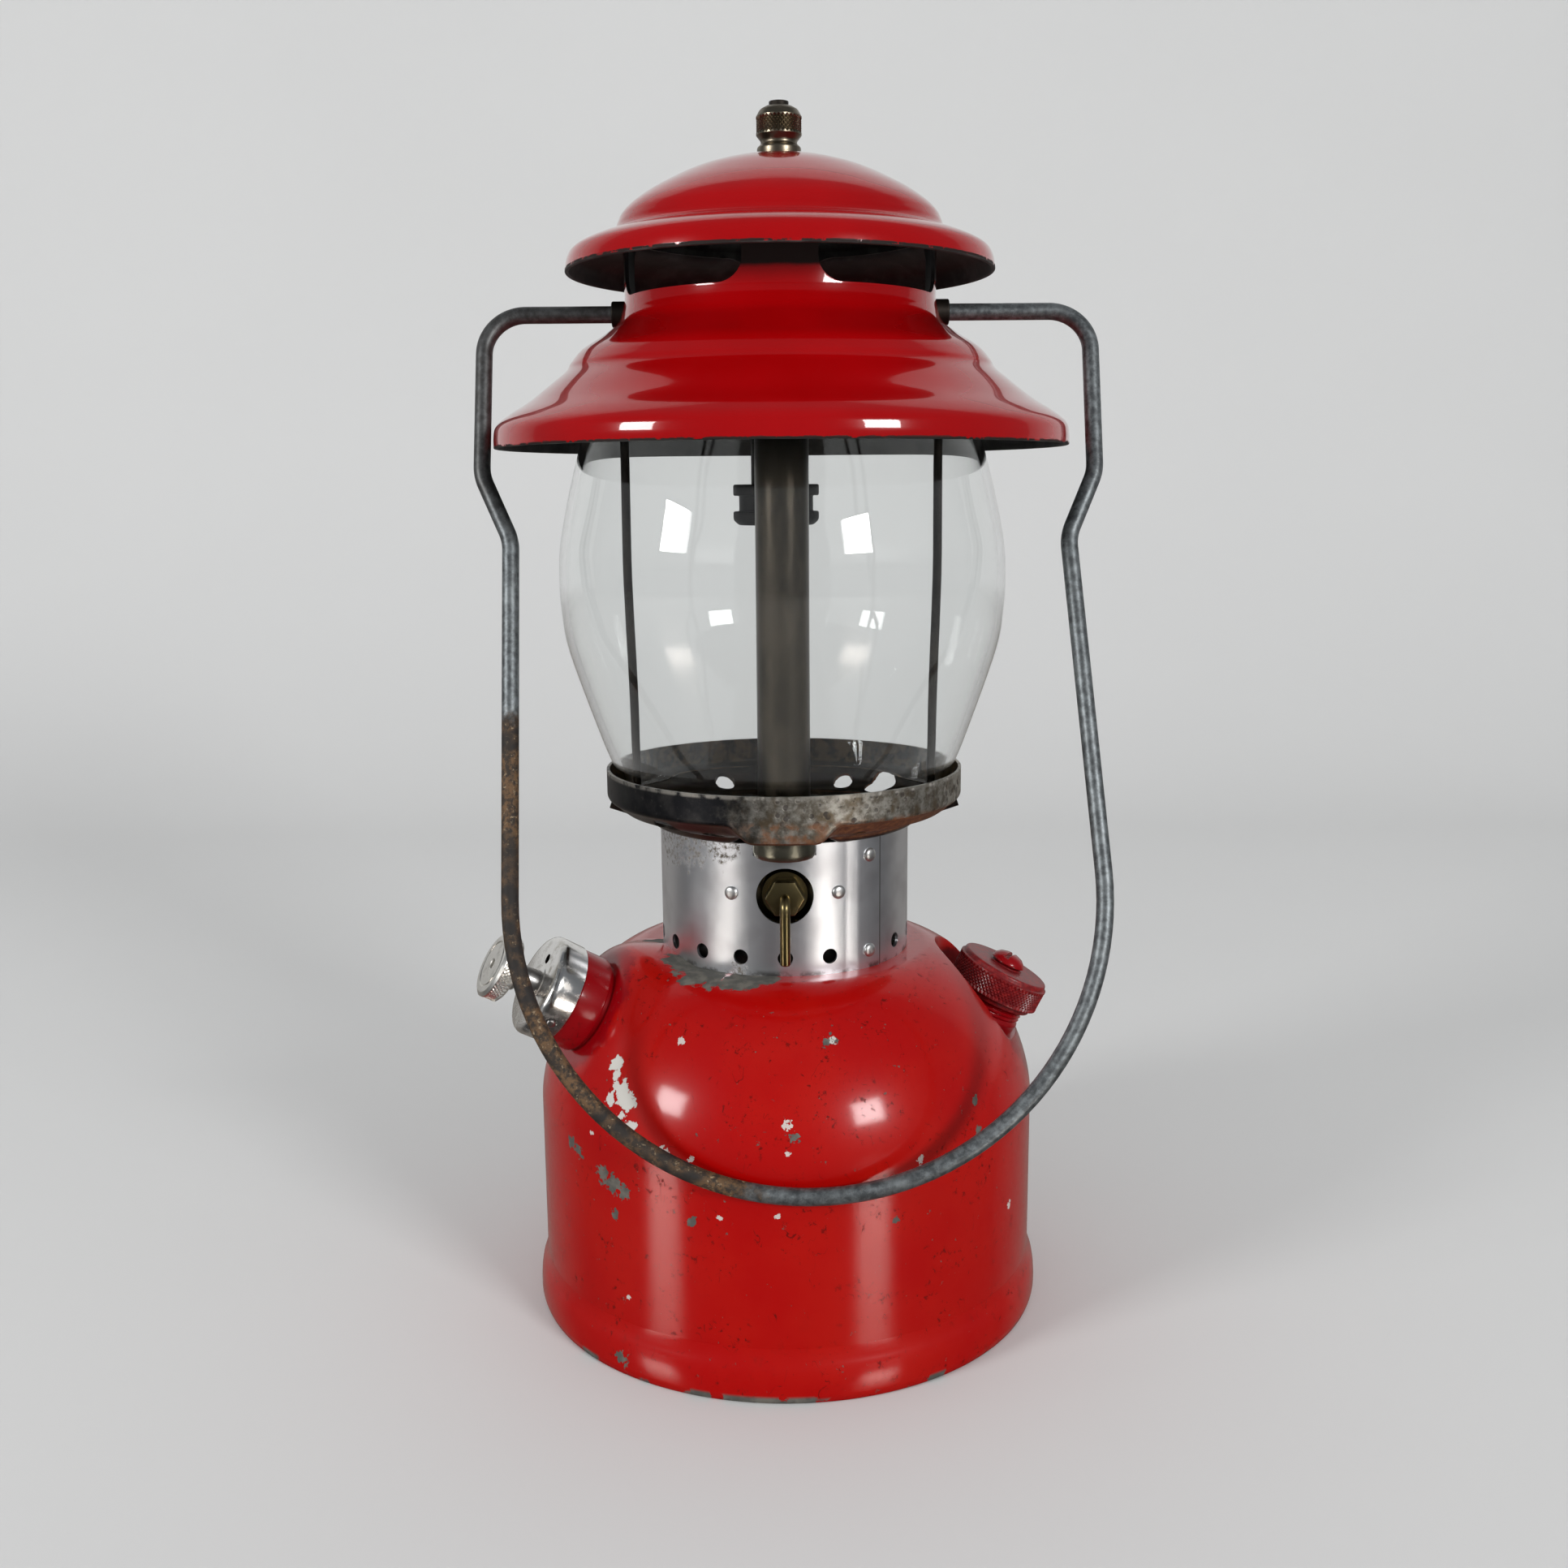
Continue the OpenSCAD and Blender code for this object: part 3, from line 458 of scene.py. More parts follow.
def bail_zinc():
    """Mottled zinc on the bail's wire, rusted along the left leg down to the loop."""
    f, c = Finish("bail_steel"), colours()
    x, _, z = f.axes()
    mottle, spangle = f.noise(1.9, 6, 0.7), f.noise(7, 4)
    metal = f.blend(mottle.over(0.36, 0.68), (0.10, 0.108, 0.112), c.zinc)
    metal = f.blend(spangle.over(0.5, 0.75) * 0.5, metal, (0.31, 0.335, 0.34))
    metal = f.blend(z.over(205, 225) * x.over(-30, -50) * 0.6, metal, (0.06, 0.052, 0.046))
    low = z.over(176, 158) * x.over(22, -34)
    spots = f.noise(5, 6, 0.72).over(0.66, 0.76) * 0.7
    rust = ((f.noise(4, 6, 0.7) - 0.62) * 0.9 + low).over(0.28, 0.6).most(spots)
    pits = f.noise(1.5, 5, 0.7)
    brown = f.blend(pits.over(0.4, 0.62), (0.034, 0.024, 0.017), c.rust)
    brown = f.blend(f.noise(1.0, 3).over(0.6, 0.74), brown, (0.34, 0.25, 0.15))
    black = f.noise(22, 3).over(0.46, 0.56) * f.noise(3, 5).over(0.36, 0.6)
    brown = f.blend(black, brown, (0.022, 0.018, 0.016))
    return f.shade(
        base_color=f.blend(rust, metal, brown), metallic=0.78 - rust * 0.6,
        roughness=0.4 + mottle * 0.14 + rust * 0.22, normal=f.bump(mottle * 0.25 + rust * pits, 0.14),
    )


def collar_nickel():
    """Plated sheet polished round the collar, stained brown under the pan at the left."""
    f, c = Finish("collar_metal"), colours()
    x, y, z = f.axes()
    cloud = f.noise(11, 2)
    metal = f.blend(cloud.over(0.4, 0.72), c.nickel, (0.66, 0.665, 0.69))
    lap = x * math.cos(math.radians(LAP_END)) + y * math.sin(math.radians(LAP_END))
    # Painted shadow and painted highlight along the lapped seam: a dark line and a bright line either side of
    # the step.
    metal = f.blend((1 - (lap - 0.4).size().over(0.1, 0.35)) * x.over(8, 12) * 0.8, metal, (0.16, 0.15, 0.14))
    metal = f.blend((1 - (lap + 0.2).size().over(0.1, 0.3)) * x.over(8, 12), metal, (0.97, 0.97, 0.97))
    stain = f.patches(COLLAR_STAINS, 1.9, 3.2, 8) * f.noise(1.3, 5, 0.72).over(0.42, 0.66)
    rusty = f.noise(2.2, 6, 0.7).over(0.64, 0.72) * z.over(122, 132) * x.over(6, -20)
    dirt = stain.most(rusty)
    foot = z.over(100.2, 98.6) * f.noise(4, 5).over(0.42, 0.6)
    tone = f.blend(dirt, f.blend(foot * 0.75, metal, (0.10, 0.09, 0.08)), (0.105, 0.08, 0.05))
    return f.shade(
        base_color=tone, metallic=1 - dirt * 0.7, roughness=0.34 + cloud * 0.06 + dirt * 0.3,
        normal=f.bump(f.noise(24, 1) + dirt * 0.4, 0.03),
    )


def ring_steel():
    """The globe's ring: blue-black on the left, grey and pitted on the right."""
    f, c = Finish("burnt_steel"), colours()
    x, y, z = f.axes()
    cloud = f.noise(6, 6, 0.65)
    burnt = (x + (cloud - 0.5) * 24).over(-2, -17)
    lines = f.noise(2.4, 5, 0.66)
    grey = f.blend(lines.over(0.35, 0.68), (0.14, 0.122, 0.095), c.steel)
    grey = f.blend(f.noise(5, 5).over(0.5, 0.7), grey, (0.15, 0.115, 0.075))
    dark = f.blend(cloud.over(0.4, 0.7), (0.012, 0.0125, 0.015), (0.035, 0.034, 0.034))
    pit = f.cells(2.2).over(0.40, 0.27) * f.noise(6, 3).over(0.40, 0.5) * (1 - burnt)
    pit = pit.most(f.noise(1.5, 5, 0.72).over(0.62, 0.67))
    rusty = z.over(RING_FOOT + 1.6, RING_FOOT) * y.over(-20, -40) * (1 - burnt) * f.noise(3, 4).over(0.4, 0.6)
    tone = f.blend(pit * 0.85, f.blend(burnt, grey, dark), (0.02, 0.013, 0.01))
    tone = f.blend(rusty * 0.8, tone, (0.17, 0.065, 0.022))
    # Painted highlight: a pale, broken line along the ring's top edge.
    lip = z.over(RING_TOP - 1.2, RING_TOP - 0.5) * f.noise(3, 4).over(0.36, 0.56)
    tone = f.blend(lip * 0.7, tone, (0.40, 0.38, 0.34))
    return f.shade(
        base_color=tone, metallic=0.85 - pit * 0.6 - rusty * 0.5,
        roughness=0.36 + cloud * 0.16 + pit * 0.2, normal=f.bump(lines * 0.12 - pit * 0.5, 0.12),
    )


def pan_brown():
    """The pan: dark glossy brown inside, rusted orange below on the right."""
    f = Finish("brown_steel")
    x, y, z = f.axes()
    cloud, grain = f.noise(9, 6, 0.65), f.noise(1.6, 5, 0.7)
    reach = x * x + y * y
    (r0, z0), (r1, z1), (r2, z2) = PAN_DISH[0], PAN_DISH[4], PAN_DISH[-1]
    slope = z0 + (reach - r0**2) * ((z1 - z0) / (r1**2 - r0**2))
    dish = slope.most(z1 + (reach - r1**2) * ((z2 - z1) / (r2**2 - r1**2)))
    boss = x.size().over(BOSS_HALF, BOSS_HALF - BOSS_EASE) * y.over(-22.5, -25.5)
    under = (z - dish - (BOSS_Z - dish) * boss).over(0.6, 0.3) * reach.over(36.2**2, 36.8**2)
    below = under * x.over(-24, 20)
    inside = f.blend(cloud.over(0.38, 0.7), (0.013, 0.009, 0.006), (0.042, 0.027, 0.015))
    wall = z.over(140.6, 142) * f.noise(4, 5).over(0.38, 0.6)
    inside = f.blend(wall * 0.9, inside, (0.16, 0.10, 0.045))
    orange = f.blend(grain.over(0.4, 0.66), (0.085, 0.028, 0.010), (0.19, 0.07, 0.022))
    return f.shade(
        base_color=f.blend(below, inside, orange), metallic=0.35 - below * 0.3,
        roughness=0.26 + cloud * 0.2 + below * 0.3, normal=f.bump(grain * 0.4 + cloud, 0.08),
    )


def heated_steel(name, tone, bright, rough, dark_from=None):
    """Steel that the flame has browned, black above a height in millimetres."""

    def make():
        f = Finish(name)
        z = f.axes()[2]
        cloud, grain = f.noise(7, 5, 0.62, f.stretched(1, 1, 0.35)), f.noise(0.9, 4, 0.7)
        surface = f.blend(cloud.over(0.36, 0.68), tone, bright)
        surface = f.blend(f.noise(3, 6, 0.7).over(0.62, 0.7) * 0.6, surface, [c * 0.4 for c in tone])
        if dark_from:
            smoke = (z + (cloud - 0.5) * 18).over(dark_from - 14, dark_from + 10)
            surface = f.blend(smoke * 0.85, surface, (0.012, 0.011, 0.010))
        return f.shade(
            base_color=surface, metallic=0.85, roughness=rough + cloud * 0.1 + grain * 0.03,
            normal=f.bump(grain * 0.06 + cloud * 0.4, 0.03),
        )

    return make


def plated(name, tone, shadow, rough, grain=1.2):
    """Bare or plated metal with tarnish in clouds and fine turning marks."""

    def make():
        f = Finish(name)
        cloud, fine = f.noise(3.5, 6, 0.66), f.noise(grain * 0.4, 3, 0.6)
        tarnish = cloud.over(0.48, 0.7)
        surface = f.blend(tarnish * 0.8, tone, shadow)
        return f.shade(
            base_color=surface, metallic=1 - tarnish * 0.18,
            roughness=rough + tarnish * 0.2 + fine * 0.06,
            normal=f.bump(fine * 0.35 + cloud * 0.3, 0.03),
        )

    return make


def dull(name, tone, second, rough, grain=1.0):
    """A dull material, such as moulded plastic, rubber or leather, with its own fine grain."""

    def make():
        f = Finish(name)
        cloud, fine = f.noise(6, 4), f.noise(grain, 4, 0.65)
        return f.shade(
            base_color=f.blend(cloud.over(0.4, 0.7), tone, second), roughness=rough + fine * 0.15,
            normal=f.bump(fine, 0.05),
        )

    return make


def clear_glass():
    """Clear blown glass, thick enough to bend what is seen at its edges."""
    f = Finish("glass")
    wave = f.noise(38, 1) + f.noise(9, 2) * 0.05
    return f.shade(
        base_color=(0.985, 0.995, 0.99), roughness=f.noise(20, 3).over(0.75, 0.95) * 0.05,
        transmission_weight=1.0, ior=1.47, normal=f.bump(wave, 0.12, 0.3),
    )


FINISHES = {
    "tank_red": tank_paint,
    "red_enamel": hood_enamel,
    "soot_black": soot_black,
    "cap_red": filler_lacquer,
    "bail_steel": bail_zinc,
    "collar_metal": collar_nickel,
    "burnt_steel": ring_steel,
    "brown_steel": pan_brown,
    "tube_steel": heated_steel("tube_steel", (0.045, 0.037, 0.027), (0.085, 0.069, 0.05), 0.27, 228),
    "black_steel": heated_steel("black_steel", (0.018, 0.015, 0.013), (0.04, 0.033, 0.027), 0.42),
    "burnt_iron": heated_steel("burnt_iron", (0.012, 0.011, 0.010), (0.03, 0.028, 0.026), 0.55),
    "old_brass": plated("old_brass", (0.19, 0.15, 0.07), (0.085, 0.065, 0.03), 0.27),
    "brass": plated("brass", (0.34, 0.25, 0.10), (0.16, 0.11, 0.045), 0.28),
    "ferrule_metal": plated("ferrule_metal", (0.21, 0.20, 0.155), (0.10, 0.09, 0.065), 0.3),
    "nickel": plated("nickel", (0.80, 0.785, 0.76), (0.52, 0.49, 0.44), 0.14),
    "rivet_metal": plated("rivet_metal", (0.60, 0.60, 0.59), (0.42, 0.41, 0.39), 0.38),
    "aluminium": plated("aluminium", (0.80, 0.78, 0.735), (0.52, 0.50, 0.46), 0.3),
    "nut_metal": plated("nut_metal", (0.20, 0.17, 0.125), (0.085, 0.068, 0.05), 0.3),
    "plain_steel": plated("plain_steel", (0.42, 0.41, 0.40), (0.22, 0.20, 0.18), 0.3),
    "wheel_black": dull("wheel_black", (0.012, 0.012, 0.012), (0.03, 0.028, 0.027), 0.34),
    "gasket": dull("gasket", (0.02, 0.02, 0.02), (0.04, 0.037, 0.034), 0.6),
    "leather": dull("leather", (0.10, 0.05, 0.022), (0.16, 0.085, 0.04), 0.6, 1.6),
    "glass": clear_glass,
}
made_finishes = {}


def finish(name):
    """The named finish, made once."""
    if name not in made_finishes:
        made_finishes[name] = FINISHES[name]()
    return made_finishes[name]


# Shapes, in millimetres until a piece is finished


def verts_in(geom):
    return [g for g in geom if isinstance(g, bmesh.types.BMVert)]


def face_in(geom):
    return next(g for g in geom if isinstance(g, bmesh.types.BMFace))


def eased(share):
    """A share held between nought and one, with soft ends."""
    share = min(max(share, 0.0), 1.0)
    return share * share * (3 - 2 * share)


def rounded(bm, geom, offset, affect="EDGES", segments=3):
    bmesh.ops.bevel(
        bm, geom=geom, offset=offset, offset_type="OFFSET", affect=affect, segments=segments,
        profile=0.5, material=-1,
    )


def spun(bm, geom, centre, axis, angle, steps, merge=False):
    return bmesh.ops.spin(
        bm, geom=geom, cent=centre, axis=axis, dvec=(0, 0, 0), angle=angle, steps=steps, use_merge=merge,
        use_normal_flip=False, use_duplicate=False,
    )["geom_last"]


def soften(obj, width, limit):
    """Rounds the edges that turn by more than the limit in degrees."""
    bevel = obj.modifiers.new("Rounded edges", "BEVEL")
    bevel.width, bevel.segments, bevel.limit_method = width * MM, 2, "ANGLE"
    bevel.angle_limit = math.radians(limit)


def through(points, steps):
    """A smooth curve through points, with the given number of steps to each stretch."""
    curve = []
    for i in range(len(points) - 1):
        a, b, c, d = [Vector(points[min(max(k, 0), len(points) - 1)]) for k in (i - 1, i, i + 1, i + 2)]
        for k in range(steps):
            t = k / steps
            bend = (2 * a - 5 * b + 4 * c - d) * t * t + (3 * b - a - 3 * c + d) * t**3
            curve.append(tuple(0.5 * (2 * b + (c - a) * t + bend)))
    return curve + [tuple(points[-1])]


def inner_face(curve, sheet):
    """The inner face of a sheet whose outer face is the curve."""
    found = []
    for i, point in enumerate(curve):
        way = Vector(curve[min(i + 1, len(curve) - 1)]) - Vector(curve[max(i - 1, 0)])
        way.normalize()
        found.append((point[0] + sheet * way.y, point[1] - sheet * way.x))
    return found


def turned(bm, outline, steps=FINE_STEPS, material=0, place=None, closed=False):
    """Spins an outline of (radius, height) about Z. A third number rounds that corner."""
    known = set(bm.faces), set(bm.verts)
    verts = [bm.verts.new((p[0], 0, p[1])) for p in outline]
    pairs = list(zip(verts, verts[1:])) + ([(verts[-1], verts[0])] if closed else [])
    for pair in pairs:
        bm.edges.new(pair)
    for radius in sorted({p[2] for p in outline if len(p) > 2}):
        corners = [v for v, p in zip(verts, outline) if len(p) > 2 and p[2] == radius]
        rounded(bm, corners, radius, "VERTICES", 5)
    loose = [v for v in bm.verts if v not in known[1]]
    edges = list({e for v in loose for e in v.link_edges})
    spun(bm, loose + edges, (0, 0, 0), (0, 0, 1), FULL_TURN, steps, True)
    faces = [f for f in bm.faces if f not in known[0]]
    for face in faces:
        face.material_index = material
    if place is not None:
        bmesh.ops.transform(bm, matrix=place, verts=[v for v in bm.verts if v not in known[1]])
    return faces


def cylinder(bm, radius, z0, z1, place=None, steps=SMALL_STEPS, edge=0.0, material=0):
    """A rod from z0 to z1, with its two edges rounded."""
    corner = (edge,) if edge else ()
    outline = [(0, z0), (radius, z0, *corner), (radius, z1, *corner), (0, z1)]
    return turned(bm, outline, steps, material, place)


def tube(bm, radius, bore, z0, z1, place=None, steps=SMALL_STEPS, edge=0.25, material=0):
    outline = [(bore, z0, edge), (radius, z0, edge), (radius, z1, edge), (bore, z1, edge)]
    return turned(bm, outline, steps, material, place, closed=True)


def tidy(bm):
    bmesh.ops.remove_doubles(bm, verts=bm.verts, dist=1e-4)
    bmesh.ops.dissolve_degenerate(bm, edges=bm.edges, dist=1e-5)
    bmesh.ops.recalc_face_normals(bm, faces=bm.faces)


def carved(bm, cutters):
    """The shape less its cutters, by an exact Boolean."""
    objects = []
    for shape, name in ((bm, "carved"), (cutters, "cutters")):
        tidy(shape)
        mesh = bpy.data.meshes.new(name)
        shape.to_mesh(mesh)
        shape.free()
        objects.append(bpy.data.objects.new(name, mesh))
        bpy.context.scene.collection.objects.link(objects[-1])
    carving = objects[0].modifiers.new("Carve", "BOOLEAN")
    carving.operation, carving.solver, carving.object = "DIFFERENCE", "EXACT", objects[1]
    seen = bpy.context.evaluated_depsgraph_get()
    mesh = bpy.data.meshes.new_from_object(objects[0].evaluated_get(seen))
    cut = bmesh.new()
    cut.from_mesh(mesh)
    bpy.data.meshes.remove(mesh)
    for obj in objects:
        bpy.data.meshes.remove(obj.data)
    if not cut.faces:
        raise RuntimeError("the cutters left nothing of the shape")
    return cut


def knurl(bm, faces, radius, low, high, count, rows, depth, place=None):
    """Raises crossed ridges on the band of a turned shape between two heights, as a knurling tool does."""
    back = place.inverted() if place is not None else Matrix.Identity(4)
    out = place or Matrix.Identity(4)
    step, rise = math.pi / count, (high - low) / rows
    band = set()
    for vert in {v for f in faces if f.is_valid for v in f.verts}:
        point = back @ vert.co
        if abs(math.hypot(point.x, point.y) - radius) > 0.02 or not low - 0.01 < point.z < high + 0.01:
            continue
        band.add(vert)
        row = round((point.z - low) / rise)
        column = round(math.atan2(point.y, point.x) / step)
        if 0 < row < rows and (row + column) % 2 == 0:
            scale = (radius - depth) / radius
            vert.co = out @ Vector((point.x * scale, point.y * scale, point.z))
    quads = [f for f in faces if f.is_valid and all(v in band for v in f.verts)]
    bmesh.ops.triangulate(bm, faces=quads, quad_method="SHORT_EDGE", ngon_method="BEAUTY")


def wire(path, bends, diameter, place, sides=32, bend_step=6):
    """A round wire drawn along a flat path by extruding its section and spinning it round each bend."""
    bm = bmesh.new()
    points = [Vector((*p, 0)) for p in path]
    way = (points[1] - points[0]).normalized()
    turn = way.to_track_quat("Z", "Y").to_matrix().to_4x4()
    bmesh.ops.create_circle(
        bm, cap_ends=True, segments=sides, radius=diameter / 2, matrix=Matrix.Translation(points[0]) @ turn
    )
    face, at = bm.faces[:][0], points[0]
    for i in range(1, len(points)):
        before = (points[i] - points[i - 1]).normalized()
        after = (points[i + 1] - points[i]).normalized() if i + 1 < len(points) else before
        angle = before.angle(after)
        reach = bends[i] * math.tan(angle / 2)
        made = bmesh.ops.extrude_face_region(bm, geom=[face])["geom"]
        face = face_in(made)
        move = points[i] - before * reach - at
        bmesh.ops.translate(bm, vec=move, verts=face.verts[:])
        at = at + move
        if angle > 1e-4:
            normal = before.cross(after).normalized()
            centre = at + normal.cross(before) * bends[i]
            count = max(2, math.ceil(math.degrees(angle) / bend_step))
            last = spun(bm, [face, *face.edges, *face.verts], centre, normal, angle, count)
            face = face_in(last)
            at = points[i] + after * reach
    bmesh.ops.remove_doubles(bm, verts=bm.verts, dist=1e-3)
    inner = [f for f in bm.faces if all(len(e.link_faces) > 2 for e in f.edges)]
    bmesh.ops.delete(bm, geom=inner, context="FACES_ONLY")
    bmesh.ops.transform(bm, matrix=place, verts=bm.verts)
    return bm


def piece(name, bm, finishes, body, nodes, sharp=32, rounding=0.0):
    """Makes a finished piece that rides on a body and stands for CAD nodes."""
    tidy(bm)
    bmesh.ops.scale(bm, vec=(MM, MM, MM), verts=bm.verts)
    mesh = bpy.data.meshes.new(name)
    bm.to_mesh(mesh)
    bm.free()
    for each in finishes:
        mesh.materials.append(finish(each))
    mesh.shade_smooth()
    mesh.set_sharp_from_angle(angle=math.radians(sharp))
    obj = bpy.data.objects.new(name, mesh)
    bpy.context.scene.collection.objects.link(obj)
    if rounding:
        soften(obj, rounding, sharp)
    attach(obj, body)
    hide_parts(*nodes)
    return obj


def dress(node, name, rounding=0.0):
    """Gives a CAD node its finish, and rounds its edges where it shows."""
    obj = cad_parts[node]
    obj.data.materials.clear()
    obj.data.materials.append(finish(name))
    if rounding:
        weld = obj.modifiers.new("Weld", "WELD")
        weld.merge_threshold = 1e-6
        soften(obj, rounding, 40)


# Pieces


class LANTERN_OT_tank(bpy.types.Operator):
    """Tank shell with its pressed filler pocket, and the bottom pan's rim"""

    bl_idname = "lantern.tank"
    bl_label = "Tank"

    def execute(self, context):
        wall, rim = mm(sizes().tank_radius), mm(sizes().rim_radius)
        shoulder_w, shoulder_h, power = 29.9, 40.6, 1.2
        curve = [(0, TANK_TOP), (20, TANK_TOP), (32, TANK_TOP)]
        for k in range(61):
            a = math.radians(90 - 1.5 * k)
            across, rise = max(math.cos(a), 0) ** power, max(math.sin(a), 0) ** power
            curve.append((wall - shoulder_w * (1 - across), TANK_TOP - shoulder_h * (1 - rise)))
        curve += [(wall, 40), (wall, 20), (wall, 8), (wall - 8, 6), (0, 6)]
        bm = bmesh.new()
        turned(bm, curve, 288)
        tidy(bm)
        self.press_pocket(bm)
        self.raise_boss(bm)
        piece("tank_shell_pressed", bm, ["tank_red"], "lantern", ["tank_shell"])
        bm = bmesh.new()
        turned(bm, [
            (0, 4), (wall - 0.5, 4), (wall - 0.4, 14), (wall + 0.02, 14), (wall + 0.3, 11.6),
            (wall + 0.95, 10.2), (wall + 1.5, 8.6), (rim - 0.15, 6.5), (rim, 4.2), (rim, 1.7, 0.8),
            (rim - 0.7, 0, 0.5), (rim - 3, 0, 0.5), (rim - 4, 3, 0.4), (0, 3),
        ])
        piece("tank_bottom_rolled", bm, ["tank_red"], "lantern", ["tank_bottom"])
        return {"FINISHED"}

    def press_pocket(self, bm):
        """Pushes a round pocket into the shoulder, with a soft lip, down to a floor square to the filler."""
        place = filler_place()
        back, axis = place.inverted(), place.to_3x3() @ Vector((0, 0, 1))
        radius, lip = 20.0, 0.9

        def near(vert, margin):
            point = back @ vert.co
            return math.hypot(point.x, point.y) < radius + margin and point.z > -3

        edges = [e for e in bm.edges if all(near(v, 3.0) for v in e.verts)]
        bmesh.ops.subdivide_edges(bm, edges=edges, cuts=2, use_grid_fill=True)
        for vert in bm.verts:
            if not near(vert, 3.0):
                continue
            point = back @ vert.co
            share = eased((radius + lip - math.hypot(point.x, point.y)) / (2 * lip))
            vert.co -= axis * max(point.z, 0.0) * share

    def raise_boss(self, bm):
        """Raises the shoulder to a flat boss round the pump's barrel."""
        place = pump_place()
        back, axis = place.inverted(), place.to_3x3() @ Vector((0, 0, 1))
        seat, flat, foot = 64.8, 13.5, 27.0
        for vert in bm.verts:
            point = back @ vert.co
            if point.z > 40:
                share = eased((foot - math.hypot(point.x, point.y)) / (foot - flat))
                vert.co += axis * (seat - point.z) * share


class LANTERN_OT_filler(bpy.types.Operator):
    """Filler neck with its thread, knurled cap and slotted screw"""

    bl_idname = "lantern.filler"
    bl_label = "Filler"

    def execute(self, context):
        place = filler_place()
        bm = bmesh.new()
        thread = [(10.2 - (0.45 if k % 2 else 0), 0.6 + 0.55 * k) for k in range(15)]
        turned(bm, [
            (7.6, -9), (10.4, -9), (10.4, 0, 0.3), *thread, (10.0, 9.6, 0.3), (7.6, 9.6, 0.3),
        ], 96, 0, place, True)
        piece("filler_neck_threaded", bm, ["tank_red"], "lantern", ["filler_neck"])
        bm = bmesh.new()
        radius, count, low, high, rows = 13.0, 68, 6.2, 12.4, 10
        side = [(radius, low + (high - low) * k / rows) for k in range(rows + 1)]
        outline = [
            (10.3, 11.5), (10.3, 4.5, 0.2), (11.5, 4.5, 0.3), (11.8, 5.9), (12.6, 6.0), *side,
            (12.5, 12.7), (12.35, 13.2), (12.2, 14.0, 0.55), (4.6, 14.0), (4.4, 14.3, 0.2), (0, 14.3),
        ]
        faces = turned(bm, outline, 2 * count, 0, place)
        turned(bm, [(10.3, 11.5), (0, 11.5)], 2 * count, 0, place)
        knurl(bm, faces, radius, low, high, count, rows, mm(sizes().knurl_depth), place)
        piece("filler_cap_knurled", bm, ["cap_red"], "filler_cap", ["filler_cap"], sharp=24)
        head = bmesh.new()
        turned(head, [
            (0, 17.6), (1.8, 17.45), (3.3, 16.9), (4.3, 16.0), (4.8, 15.1), (4.8, 14.85, 0.1),
            (3.6, 14.85), (3.6, 14.25), (0, 14.25),
        ], 48)
        slot = bmesh.new()
        bmesh.ops.create_cube(slot, size=1, matrix=moved(0, 0, 17.7) @ Matrix.Diagonal((12, 1.2, 2.8, 1)))
        bm = carved(head, slot)
        bmesh.ops.transform(bm, matrix=place @ rotated("Z", 62), verts=bm.verts)
        piece(
            "filler_screw_slotted", bm, ["tank_red"], "filler_cap", ["filler_screw"], sharp=30, rounding=0.12
        )
        return {"FINISHED"}


